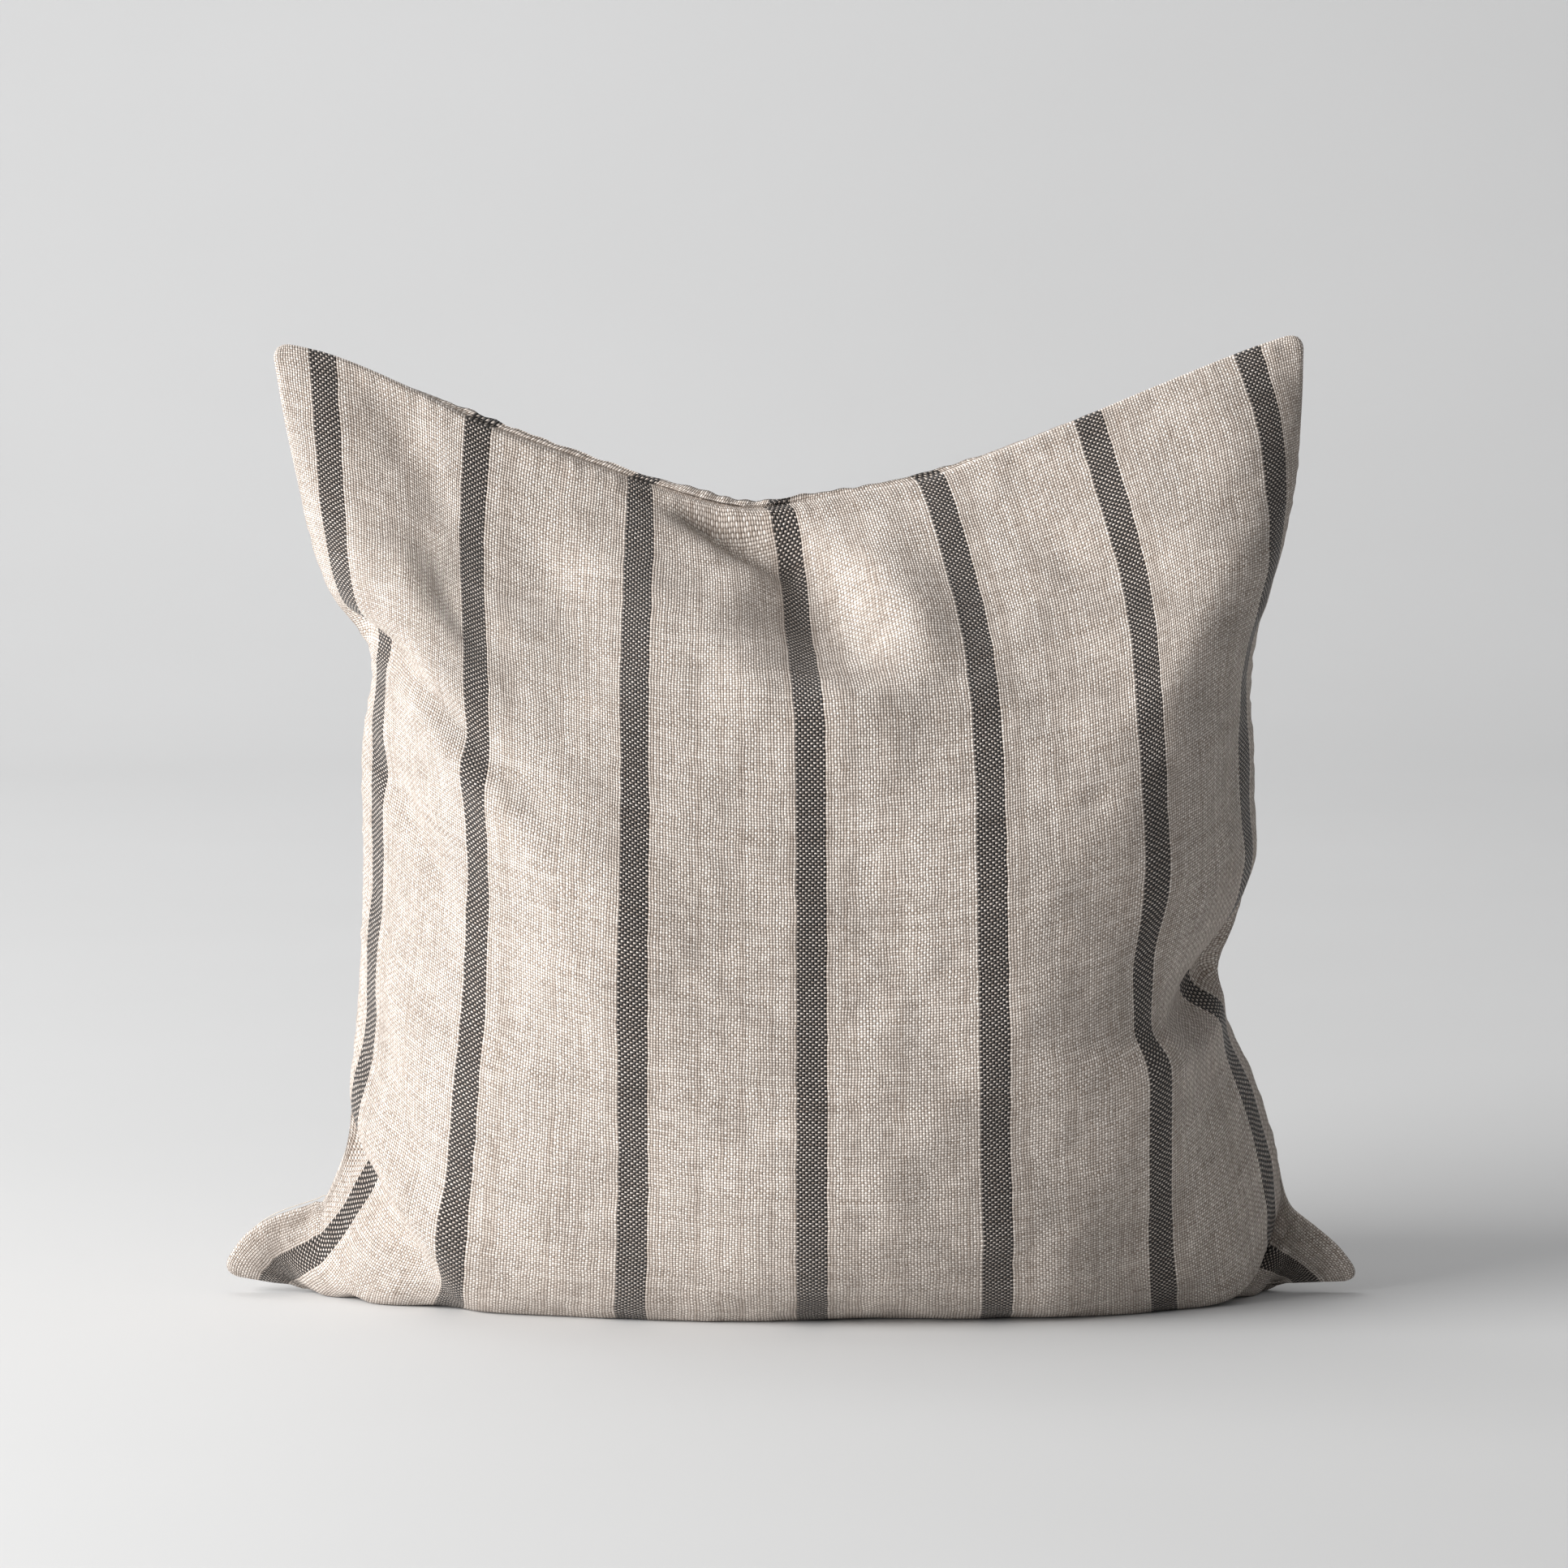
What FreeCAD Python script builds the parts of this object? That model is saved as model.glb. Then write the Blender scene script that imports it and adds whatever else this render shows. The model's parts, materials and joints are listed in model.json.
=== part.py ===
import FreeCAD, Part

import math
import os

# A square linen cushion standing on its bottom edge: a cover of two panels sewn edge to edge, a coil zip
# hidden in the bottom seam, and a filled insert. Millimetres; X across, -Y towards the front, Z up.

doc = FreeCAD.newDocument("throw_pillow")
sizes = doc.addObject("Spreadsheet::Sheet", "Sizes")

SIZES = [
    # Outline in the seam plane (half widths and heights)
    ("ear_half_width", 249.0),
    ("top_half_width", 228.0),
    ("left_waist", 189.0),
    ("right_waist", 199.0),
    ("left_pinch", 180.0),
    ("right_pinch", 196.0),
    ("top_corner_height", 427.0),
    ("chop_height", 349.0),
    ("chop_offset", -25.0),
    ("left_shoulder_share", 0.52),
    ("right_shoulder_share", 0.3),
    ("ear_flare", 6.0),
    ("corner_taper", 14.0),
    ("seam_height", 12.0),
    # Fullness
    ("half_depth", 115.0),
    ("sag_share", 0.12),
    ("sag_drop", 122.0),
    ("sag_zone", 0.14),
    # Cover
    ("cloth", 1.2),
    ("cloth_at_seam", 1.6),
    ("allowance_near", 0.8),
    ("slot_play", 0.02),
    ("allowance_start", 17.0),
    ("allowance_end", 25.0),
    ("thread_width", 0.5),
    ("thread_half", 0.06),
    ("thread_inset", 6.5),
    # Zip
    ("zip_half_length", 165.0),
    ("tape_tail", 12.0),
    ("tape_thick", 0.65),
    ("tape_gap", 0.1),
    ("tape_width", 12.2),
    ("coil_top", 6.6),
    ("coil_height", 1.7),
    ("coil_inner", 0.6),
    ("coil_outer", 2.2),
    ("coil_closed_end", 156.5),
    ("coil_round", 0.5),
    ("stop_length", 2.0),
    ("stop_width", 1.3),
    ("stop_round", 0.35),
    ("top_stop_gap", 0.7),
    ("bottom_stop_gap", 0.1),
    ("stitch_thick", 0.4),
    ("stitch_rise", 1.0),
    ("slider_x", 155.0),
    ("slider_length", 9.0),
    ("slider_half_width", 3.5),
    ("slider_round", 1.6),
    ("slider_wall", 0.9),
    ("slider_plate", 1.0),
    ("slider_base", 3.6),
    ("slider_top", 7.5),
    ("slider_lip", 0.6),
    ("lip_reach", 1.1),
    ("divider_half", 0.3),
    ("divider_length", 2.0),
    ("divider_gap", 0.3),
    ("bridge_half_width", 0.7),
    ("bridge_half_length", 2.9),
    ("bridge_leg", 0.8),
    ("bridge_drop", 2.1),
    ("bridge_sink", 0.1),
    ("bridge_bar", 0.7),
    ("tab_length", 22.0),
    ("tab_half_width", 2.2),
    ("tab_thick", 1.0),
    ("tab_window_half", 1.1),
    ("tab_window_length", 5.2),
    ("tab_bar", 1.0),
    ("tab_tip_radius", 2.0),
    ("tab_tip_shift", 0.4),
    ("tab_tip_swell", 0.2),
    # Label and insert
    ("label_width", 30.0),
    ("label_reach", 7.0),
    ("label_thick", 0.5),
    ("label_tuck", 0.5),
    ("label_height", 96.0),
    ("insert_inset", 26.0),
    ("insert_clearance", 9.0),
    ("insert_sag", 110.0),
    ("ticking", 0.8),
    ("ticking_at_seam", 1.1),
    ("insert_thread_inset", 3.0),
    ("filling_inset", 5.0),
    ("filling_clearance", 1.0),
]

ROWS_ACROSS = 20
ROWS_UP = 18

# Where the edges turn, as shares of the height (sides) and of the half width (top)
LOW_SIDE, WAIST, PINCH, HIGH_SIDE = 0.26, 0.47, 0.675, 0.82
LEFT_SHOULDER, RIGHT_SHOULDER = 0.6, 0.5


def fill_sheet():
    for row, (alias, value) in enumerate(SIZES, start=1):
        sizes.set("A%d" % row, alias)
        sizes.set("B%d" % row, repr(value))
        sizes.setAlias("B%d" % row, alias)
    doc.recompute()


fill_sheet()


def size(alias):
    return float(sizes.get(alias))


def along(points, count):
    """Evenly spaced points on a smooth curve through the given (x, z) points."""
    curve = Part.BSplineCurve()
    curve.interpolate([FreeCAD.Vector(x, 0, z) for x, z in points])
    first = curve.FirstParameter
    step = (curve.LastParameter - first) / count
    return [curve.value(first + step * index) for index in range(count + 1)]


def outline(inset):
    """The four seam edges in the Y=0 plane, moved inward by inset: bottom, top, left, right."""
    foot = size("seam_height") + inset
    ear = size("ear_half_width") - inset
    corner = size("top_half_width") - inset
    peak = size("top_corner_height") - inset
    low = size("chop_height") - inset
    chop = size("chop_offset")
    left_shoulder = low + size("left_shoulder_share") * (peak - low)
    right_shoulder = low + size("right_shoulder_share") * (peak - low)
    bottom = [(-ear, foot), (0, foot), (ear, foot)]
    top = [(-corner, peak), (-LEFT_SHOULDER * corner, left_shoulder), (chop, low),
           (RIGHT_SHOULDER * corner, right_shoulder), (corner, peak)]
    edges = [bottom, top]
    for side, waist, pinch in ((-1, size("left_waist"), size("left_pinch")),
                               (1, size("right_waist"), size("right_pinch"))):
        edges.append([(side * ear, foot), (side * (waist + size("ear_flare") - inset), LOW_SIDE * peak),
                      (side * (waist - inset), WAIST * peak), (side * (pinch - inset), PINCH * peak),
                      (side * (corner - size("corner_taper")), HIGH_SIDE * peak), (side * corner, peak)])
    counts = (ROWS_ACROSS, ROWS_ACROSS, ROWS_UP, ROWS_UP)
    return [along(points, count) for points, count in zip(edges, counts)]


def swell(share):
    """Fullness from 0 at a seam to 1 in the middle, with a knife edge at the seam."""
    return 1 - (1 - math.sin(math.pi * share)) ** 2


def bulge_grid(inset, clearance, drop):
    """Rows of points on the bulging front, from the bottom seam to the top seam."""
    bottom, top, left, right = outline(inset)
    depth = size("half_depth") - clearance
    rows = []
    for j in range(ROWS_UP + 1):
        up = j / ROWS_UP
        row = []
        for i in range(ROWS_ACROSS + 1):
            over = i / ROWS_ACROSS
            edge = bottom[i] * (1 - up) + top[i] * up + left[j] * (1 - over) + right[j] * over
            corners = (bottom[0] * ((1 - over) * (1 - up)) + bottom[-1] * (over * (1 - up))
                       + top[0] * ((1 - over) * up) + top[-1] * (over * up))
            flat = edge - corners
            rim = i in (0, ROWS_ACROSS) or j in (0, ROWS_UP)
            full = 0 if rim else swell(over) * swell(up)
            y = -depth * full * (1 + size("sag_share") * math.cos(math.pi * up))
            sag = drop * full * math.exp(-(up / size("sag_zone")) ** 2)
            row.append(FreeCAD.Vector(flat.x, y, flat.z - sag))
        rows.append(row)
    return rows


def shrunk(point):
    """Where a point of the cover goes on the smaller insert inside it."""
    inset = size("insert_inset")
    across = 1 - inset / size("ear_half_width")
    foot = size("seam_height")
    up = 1 - 2 * inset / (size("top_corner_height") - foot)
    deep = 1 - size("insert_clearance") / size("half_depth")
    return FreeCAD.Vector(point.x * across, point.y * deep, foot + inset + (point.z - foot) * up)


def same(point):
    return point


def half_solid(inset, clearance, drop, place=same):
    """The bulging front half, closed by the seam plane."""
    surface = Part.BSplineSurface()
    surface.interpolate([[place(point) for point in row] for row in bulge_grid(inset, clearance, drop)])
    skin = surface.toShape()
    cap = Part.Face(Part.Wire(Part.__sortEdges__(skin.Edges)))
    shell = Part.Shell([skin, cap])
    shell.sewShape()
    solid = Part.Solid(shell)
    if solid.Volume < 0:
        solid.reverse()
    return solid


def standing_half(inset, clearance):
    """The front half of the cover, cut flat where it stands."""
    below = Part.makeBox(1000, 1000, 200, FreeCAD.Vector(-500, -500, clearance - 200))
    return half_solid(inset, clearance, size("sag_drop") - clearance).cut(below)


def insert_half(inset, clearance):
    """The front half of the insert, smaller than the cover and clear of the floor."""
    return half_solid(inset, clearance, size("insert_sag") - clearance, shrunk)


def seam_ring(inset, width, near, thick, place=same):
    """A flat band that follows the seam: inset from the outline, from Y=near to Y=near+thick."""
    faces = []
    for distance in (inset, inset + width):
        bottom, top, left, right = outline(distance)
        edges = []
        for points in (bottom, right, top, left):
            curve = Part.BSplineCurve()
            curve.interpolate([place(point) + FreeCAD.Vector(0, near, 0) for point in points])
            edges.append(curve.toShape())
        faces.append(Part.Face(Part.Wire(Part.__sortEdges__(edges))))
    return faces[0].cut(faces[1]).extrude(FreeCAD.Vector(0, thick, 0))


def zip_slot():
    """The gap in the seam that the two tapes pass through."""
    half_length = size("zip_half_length") + size("tape_tail") + 1
    half_gap = size("allowance_near") - size("slot_play")
    return Part.makeBox(2 * half_length, 2 * half_gap, 30, FreeCAD.Vector(-half_length, -half_gap, 0))


def mirrored(shape):
    """The same piece on the back of the cushion."""
    return shape.mirror(FreeCAD.Vector(0, 0, 0), FreeCAD.Vector(0, 1, 0))


def cover_panel():
    """The front panel: a shell of cloth with a knife edge at the seam."""
    inner = standing_half(size("cloth_at_seam"), size("cloth"))
    return standing_half(0, 0).cut(inner).cut(zip_slot())


def seam_thread():
    """The row of lockstitches that holds the two allowances together, open at the zip."""
    half = size("thread_half")
    ring = seam_ring(size("thread_inset"), size("thread_width"), -half, 2 * half)
    half_length = size("zip_half_length") + size("tape_tail") + 2
    return ring.cut(Part.makeBox(2 * half_length, 20, 30, FreeCAD.Vector(-half_length, -10, 0)))


def insert_panel():
    """The front half of the insert's ticking."""
    return insert_half(0, 0).cut(insert_half(size("ticking_at_seam"), size("ticking")))


def insert_thread():
    """The closing seam of the insert."""
    half = size("thread_half")
    return seam_ring(size("insert_thread_inset"), size("thread_width"), -half, 2 * half, shrunk)


def filling():
    """The fibre that plumps the insert."""
    inset = size("filling_inset")
    gap = size("ticking") + size("filling_clearance")
    front = insert_half(inset, gap)
    return front.fuse(mirrored(front)).removeSplitter()


def soft_part(label, shape):
    part = doc.addObject("Part::Feature", label)
    part.Label = label
    part.Shape = shape
    part.Placement = FreeCAD.Placement()
    return part


def bind(part, **expressions):
    for name, text in expressions.items():
        part.setExpression(name, text)


def box(label, x, y, z, length, width, height):
    """A box driven by the size sheet; every argument is an expression."""
    part = doc.addObject("Part::Box", label)
    part.Label = label
    bind(part, Length=length, Width=width, Height=height)
    part.setExpression("Placement.Base.x", x)
    part.setExpression("Placement.Base.y", y)
    part.setExpression("Placement.Base.z", z)
    return part


def rounded(label, base, radius, picks):
    """A copy of base with chosen edges rounded; picks says which edges by their direction."""
    doc.recompute()
    part = doc.addObject("Part::Fillet", label)
    part.Label = label
    part.Base = base
    chosen = []
    for number, edge in enumerate(base.Shape.Edges, start=1):
        first, last = edge.Vertexes[0].Point, edge.Vertexes[-1].Point
        if picks(last - first):
            chosen.append((number, radius, radius))
    part.Edges = chosen
    return part


def runs_along_x(span):
    return abs(span.x) > 0.5 and abs(span.y) < 0.01 and abs(span.z) < 0.01


def runs_along_z(span):
    return abs(span.z) > 0.5 and abs(span.x) < 0.01 and abs(span.y) < 0.01


S = "Sizes."


def zip_tape(label, side):
    start = S + "tape_gap / 2" if side > 0 else "-" + S + "tape_gap / 2 - " + S + "tape_thick"
    return box(label, "-" + S + "zip_half_length - " + S + "tape_tail", start, S + "coil_top",
               "2 * (" + S + "zip_half_length + " + S + "tape_tail)", S + "tape_thick", S + "tape_width")


def zip_coil(label, side):
    start = S + "coil_inner" if side > 0 else "-" + S + "coil_outer"
    bar = box(label + "_bar", "-" + S + "zip_half_length", start, S + "coil_top - " + S + "coil_height",
              S + "zip_half_length + " + S + "coil_closed_end", S + "coil_outer - " + S + "coil_inner",
              S + "coil_height")
    return rounded(label, bar, size("coil_round"), runs_along_x)


def zip_allowance(label, side):
    """The turned-in edge of a panel that one tape is sewn to."""
    near = S + "allowance_near"
    start = near if side > 0 else "-" + near + " - " + S + "cloth"
    return box(label, "-" + S + "zip_half_length", start, S + "allowance_start",
               "2 * " + S + "zip_half_length", S + "cloth", S + "allowance_end - " + S + "allowance_start")


def zip_stitch(label, side):
    """The stitch line that sews a tape to its allowance."""
    far = S + "allowance_near + " + S + "cloth"
    start = far if side > 0 else "-(" + far + ") - " + S + "stitch_thick"
    return box(label, "-" + S + "zip_half_length", start, S + "allowance_start + " + S + "stitch_rise",
               "2 * " + S + "zip_half_length", S + "stitch_thick", S + "stitch_thick")


def zip_stop(label, x, y, width):
    block = box(label + "_block", x, y, S + "coil_top - " + S + "coil_height", S + "stop_length", width,
                S + "coil_height")
    return rounded(label, block, size("stop_round"), runs_along_z)


def zip_slider():
    """A channel that wraps the two coils, with a divider at its mouth and a bridge for the tab."""
    left = S + "slider_x - " + S + "slider_length / 2"
    half = S + "slider_half_width"
    plate = box("slider_plate", left, "-" + half, S + "slider_base", S + "slider_length", "2 * " + half,
                S + "slider_plate")
    pieces = [rounded("slider_plate_rounded", plate, size("slider_round"), runs_along_z)]
    inset = S + "slider_round"
    for name, wall_y, lip_y in (("front", "-" + half, "-" + half),
                                ("back", half + " - " + S + "slider_wall", S + "lip_reach")):
        pieces.append(box("slider_wall_" + name, left + " + " + inset, wall_y, S + "slider_base",
                          S + "slider_length - 2 * " + inset, S + "slider_wall",
                          S + "slider_top - " + S + "slider_base"))
        pieces.append(box("slider_lip_" + name, left + " + " + inset, lip_y,
                          S + "slider_top - " + S + "slider_lip", S + "slider_length - 2 * " + inset,
                          half + " - " + S + "lip_reach", S + "slider_lip"))
    pieces.append(box("slider_divider", left + " + " + S + "slider_length - " + S + "divider_length",
                      "-" + S + "divider_half", S + "slider_base", S + "divider_length",
                      "2 * " + S + "divider_half", S + "coil_top - " + S + "divider_gap - " + S + "slider_base"))
    bridge_low = S + "slider_base - " + S + "bridge_drop"
    for name, x in (("left", S + "slider_x - " + S + "bridge_half_length"),
                    ("right", S + "slider_x + " + S + "bridge_half_length - " + S + "bridge_leg")):
        pieces.append(box("bridge_leg_" + name, x, "-" + S + "bridge_half_width", bridge_low,
                          S + "bridge_leg", "2 * " + S + "bridge_half_width", S + "bridge_drop + " + S + "bridge_sink"))
    pieces.append(box("bridge_bar", S + "slider_x - " + S + "bridge_half_length",
                      "-" + S + "bridge_half_width", bridge_low, "2 * " + S + "bridge_half_length",
                      "2 * " + S + "bridge_half_width", S + "bridge_bar"))
    slider = doc.addObject("Part::MultiFuse", "zip_slider")
    slider.Label = "zip_slider"
    slider.Shapes = pieces
    slider.Refine = True
    return slider


def origin_plane(body, role):
    for feature in body.Origin.OriginFeatures:
        if feature.Role == role:
            return feature
    raise ValueError(role)


def zip_pull_tab():
    """A flat tab with a window whose end bar hangs in the slider's bridge."""
    body = doc.addObject("PartDesign::Body", "zip_pull_tab")
    body.Label = "zip_pull_tab"
    sketch = body.newObject("Sketcher::SketchObject", "tab_outline")
    sketch.AttachmentSupport = [(origin_plane(body, "XY_Plane"), "")]
    sketch.MapMode = "FlatFace"
    length = size("tab_length")
    half = size("tab_half_width")
    radius = size("tab_tip_radius")
    bar = size("tab_bar")
    window = size("tab_window_length")
    window_half = size("tab_window_half")
    rectangle(sketch, -length + radius, -half, bar / 2, half)
    rectangle(sketch, -bar / 2 - window, -window_half, -bar / 2, window_half)
    pad = body.newObject("PartDesign::Pad", "tab_plate")
    pad.Profile = sketch
    pad.Midplane = True
    bind(pad, Length=S + "tab_thick")
    doc.recompute()
    tip = body.newObject("Sketcher::SketchObject", "tab_tip")
    tip.AttachmentSupport = [(origin_plane(body, "XY_Plane"), "")]
    tip.MapMode = "FlatFace"
    centre = FreeCAD.Vector(-length + radius + size("tab_tip_shift"), 0, 0)
    tip.addGeometry(Part.Circle(centre, FreeCAD.Vector(0, 0, 1), half + size("tab_tip_swell")))
    round_end = body.newObject("PartDesign::Pad", "tab_round_end")
    round_end.Profile = tip
    round_end.Midplane = True
    bind(round_end, Length=S + "tab_thick")
    body.Tip = round_end
    body.setExpression("Placement.Base.x", S + "slider_x")
    body.setExpression("Placement.Base.z", S + "slider_base - (" + S + "bridge_drop - " + S + "bridge_bar) / 2")
    return body


def rectangle(sketch, x0, y0, x1, y1):
    corners = [FreeCAD.Vector(x0, y0, 0), FreeCAD.Vector(x1, y0, 0), FreeCAD.Vector(x1, y1, 0),
               FreeCAD.Vector(x0, y1, 0)]
    for index in range(4):
        sketch.addGeometry(Part.LineSegment(corners[index], corners[(index + 1) % 4]))


def care_label():
    """A small plain loop label held in the right seam."""
    edge = S + "right_waist + " + S + "label_tuck"
    return box("care_label", edge + " - " + S + "label_reach", "-" + S + "label_thick / 2",
               S + "label_height", S + "label_reach", S + "label_thick", S + "label_width")


def build():
    panel = cover_panel()
    ticking = insert_panel()
    parts = [
        soft_part("cover_front_panel", panel),
        soft_part("cover_back_panel", mirrored(panel)),
        soft_part("seam_thread", seam_thread()),
        soft_part("insert_ticking_front", ticking),
        soft_part("insert_ticking_back", mirrored(ticking)),
        soft_part("insert_seam_thread", insert_thread()),
        soft_part("insert_filling", filling()),
        care_label(),
    ]
    for name, side in (("front", -1), ("back", 1)):
        parts.append(zip_tape("zip_tape_" + name, side))
        parts.append(zip_coil("zip_coil_" + name, side))
        parts.append(zip_allowance("zip_allowance_" + name, side))
        parts.append(zip_stitch("zip_stitch_" + name, side))
        stop_y = S + "tape_gap / 2" if side > 0 else "-" + S + "tape_gap / 2 - " + S + "stop_width"
        stop_x = S + "slider_x + " + S + "slider_length / 2 + " + S + "top_stop_gap"
        parts.append(zip_stop("zip_top_stop_" + name, stop_x, stop_y, S + "stop_width"))
    end = "-" + S + "zip_half_length - " + S + "stop_length - " + S + "bottom_stop_gap"
    parts.append(zip_stop("zip_bottom_stop", end, "-" + S + "coil_outer", "2 * " + S + "coil_outer"))
    parts.append(zip_slider())
    parts.append(zip_pull_tab())
    return parts


def export(parts):
    doc.recompute()
    for item in doc.Objects:
        if "Invalid" in item.State or "Error" in item.State:
            raise RuntimeError("%s: %s" % (item.Label, item.State))
    os.makedirs("parts", exist_ok=True)
    for part in parts:
        shape = part.Shape
        if shape.isNull() or not shape.isValid():
            raise RuntimeError("%s has no valid shape" % part.Label)
        shape.exportStep("parts/%s.step" % part.Label)


export(build())
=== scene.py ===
import json
import math

import bpy
import numpy as np
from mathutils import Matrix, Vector


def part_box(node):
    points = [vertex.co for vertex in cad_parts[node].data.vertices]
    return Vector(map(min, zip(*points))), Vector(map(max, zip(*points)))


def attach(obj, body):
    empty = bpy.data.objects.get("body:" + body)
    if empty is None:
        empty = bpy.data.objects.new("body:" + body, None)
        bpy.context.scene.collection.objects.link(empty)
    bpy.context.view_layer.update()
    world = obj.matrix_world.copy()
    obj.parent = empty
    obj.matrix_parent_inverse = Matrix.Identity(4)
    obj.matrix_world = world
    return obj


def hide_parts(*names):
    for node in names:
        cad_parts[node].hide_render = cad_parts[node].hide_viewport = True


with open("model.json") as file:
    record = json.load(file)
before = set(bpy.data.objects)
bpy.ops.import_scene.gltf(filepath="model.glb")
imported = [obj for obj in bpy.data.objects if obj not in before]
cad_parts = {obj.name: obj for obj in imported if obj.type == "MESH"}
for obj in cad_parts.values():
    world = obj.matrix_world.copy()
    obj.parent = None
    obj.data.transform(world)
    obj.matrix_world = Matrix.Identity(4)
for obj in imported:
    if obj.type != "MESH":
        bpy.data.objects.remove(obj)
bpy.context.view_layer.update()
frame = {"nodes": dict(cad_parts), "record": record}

# A square striped linen cushion that stands on its bottom edge, with the top edge pushed down in the middle.
# The cover is two square cloth panels. A small cloth solver inflates them and pulls the seam and the stripes
# to given lines. The larger folds are pressed in afterwards. Metres; X across, -Y towards the front, Z up.

SIDE = 0.5
SEAM_HEIGHT = 0.012
FLOOR_GAP = 0.0006

# Where the four seam edges lie: (share of the edge, X, Z) for top and bottom, (X, Z) by length for the sides.
# These, the stripe courses and many of the front folds were measured from a picture of the cushion and rounded.
TOP = [(0.0, -0.226, 0.415), (0.05, -0.203, 0.412), (0.2, -0.136, 0.380), (0.35, -0.066, 0.354),
       (0.47, -0.022, 0.3415), (0.55, 0.014, 0.348), (0.65, 0.060, 0.3565), (0.8, 0.129, 0.3845),
       (0.95, 0.198, 0.4125), (1.0, 0.221, 0.420)]
BOTTOM = [(0.0, -0.2495, 0.008), (0.05, -0.226, 0.004), (0.1, -0.202, 0.003), (0.15, -0.178, 0.008),
          (0.2, -0.152, SEAM_HEIGHT),
          (0.5, 0.0, SEAM_HEIGHT), (0.86, 0.182, SEAM_HEIGHT), (0.92, 0.212, 0.004),
          (1.0, 0.248, 0.005)]
LEFT = [(-0.2495, 0.008), (-0.240, 0.026), (-0.210, 0.047), (-0.193, 0.075), (-0.191, 0.17), (-0.1905, 0.252),
        (-0.176, 0.282), (-0.205, 0.304), (-0.216, 0.3425), (-0.225, 0.383), (-0.226, 0.415)]
RIGHT = [(0.248, 0.005), (0.238, 0.022), (0.215, 0.038), (0.2147, 0.063), (0.200, 0.104), (0.1793, 0.1405),
         (0.197, 0.1625), (0.204, 0.217), (0.198, 0.2545), (0.199, 0.287), (0.2137, 0.338), (0.2246, 0.386),
         (0.221, 0.420)]

# Where the dark stripes run on the front: cloth distance from the left seam, then (Z, X) from the floor up.
STRIPE_COURSES = [
    (0.024, [(0.010, -0.224), (0.033, -0.190), (0.060, -0.187), (0.085, -0.186), (0.12, -0.181), (0.18, -0.176),
             (0.25, -0.180), (0.282, -0.173), (0.29, -0.187), (0.32, -0.195), (0.352, -0.200), (0.413, -0.204)]),
    (0.099, [(0.0, -0.147), (0.054, -0.141), (0.107, -0.136), (0.18, -0.130), (0.24, -0.133), (0.325, -0.139),
             (0.38, -0.136)]),
    (0.174, [(0.0, -0.068), (0.275, -0.068), (0.356, -0.066)]),
    (0.249, [(0.0, 0.009), (0.258, 0.008), (0.345, -0.002)]),
    (0.324, [(0.0, 0.086), (0.24, 0.083), (0.292, 0.078), (0.357, 0.060)]),
    (0.399, [(0.0, 0.159), (0.133, 0.152), (0.154, 0.146), (0.19, 0.155), (0.288, 0.152), (0.32, 0.147),
             (0.384, 0.128)]),
    (0.474, [(0.004, 0.228), (0.018, 0.208), (0.05, 0.208), (0.09, 0.197), (0.13, 0.180), (0.145, 0.172),
             (0.17, 0.191), (0.28, 0.194), (0.33, 0.208), (0.382, 0.208), (0.411, 0.198)]),
]
COURSE_WIDTH = 0.012
COURSE_PULL = 0.12

# The insert's plan at heights from the floor up: (Z, reach to the left, reach to the right, half depth).
INSERT_PLAN = [(0.0, 0.140, 0.190, 0.078), (0.03, 0.150, 0.198, 0.094), (0.06, 0.166, 0.203, 0.104),
               (0.10, 0.180, 0.193, 0.110), (0.14, 0.180, 0.172, 0.110), (0.20, 0.178, 0.188, 0.102),
               (0.27, 0.162, 0.180, 0.076), (0.31, 0.130, 0.140, 0.038), (0.335, 0.100, 0.100, 0.0)]
INSERT_SQUARENESS = 2.3
INSERT_PUSH = 0.06
BASE_CLOTH = (0.05, 0.09)
BASE_PULL = 0.15
# Half lengths to the left and right, half depth, and how square each end is.
FOOTPRINT = (0.206, 0.204, 0.080, 2.0, 3.0)

# The insert doesn't reach the two bottom corners, which lie empty.
EMPTY_CORNER = 0.065
FULL_CORNER = 0.095
CORNER_GAP = 0.0025

# Cloth solver levels: cells per side, steps, compression stiffness, bending as (stride, strength),
# inner passes, damping.
LEVELS = [(31, 400, 0.30, ((1, 0.10),), 3, 0.9),
          (62, 250, 0.08, ((1, 0.20), (2, 0.06)), 3, 0.9),
          (124, 150, 0.01, ((1, 0.22), (2, 0.15), (4, 0.06)), 4, 0.8)]
VOLUME = 0.0185
STRETCH = 1.0
SHEAR = 0.05
HEAD = 1.0
GRAVITY = 0.002
SEAM_PULL = 0.15
SEAM_FLAT = 0.03
# The same for the bottom seam, which is held harder: pull along X and Z, and the share of its depth kept.
BASE_SEAM_PULL = (0.5, 0.8)
BASE_SEAM_KEPT = 0.5
BASE_SLOPE = 0.03
CORNER_CLOSING = 0.2
HEAD_HEIGHT = 0.4
FIRST_PRESSURE = 0.001
PRESSURE_CHANGE = 0.05
# The two panels stay this far apart, less beside the seam.
PANEL_GAP = 0.0012
PANEL_GAP_SLOPE = 0.15

# The swollen form that the solver starts from.
START_DEPTH = 0.105
START_LOW_SWELL = 0.12
START_SAG = 0.11
START_SAG_REACH = 0.14


# ---------------------------------------------------------------- cloth solver

def by_length(points):
    """Adds each point's share of the whole length in front of it."""
    array = np.array(points)
    steps = np.hypot(*np.diff(array, axis=0).T)
    reach = np.concatenate(([0.0], np.cumsum(steps)))
    return np.column_stack((reach / reach[-1], array))


def edge_path(points, n):
    array = np.array(points, float)
    share = np.linspace(0, 1, n + 1)
    return np.column_stack([np.interp(share, array[:, 0], array[:, axis]) for axis in (1, 2)])


def seam_targets(n):
    return [edge_path(points, n) for points in (TOP, BOTTOM, by_length(LEFT), by_length(RIGHT))]


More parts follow.
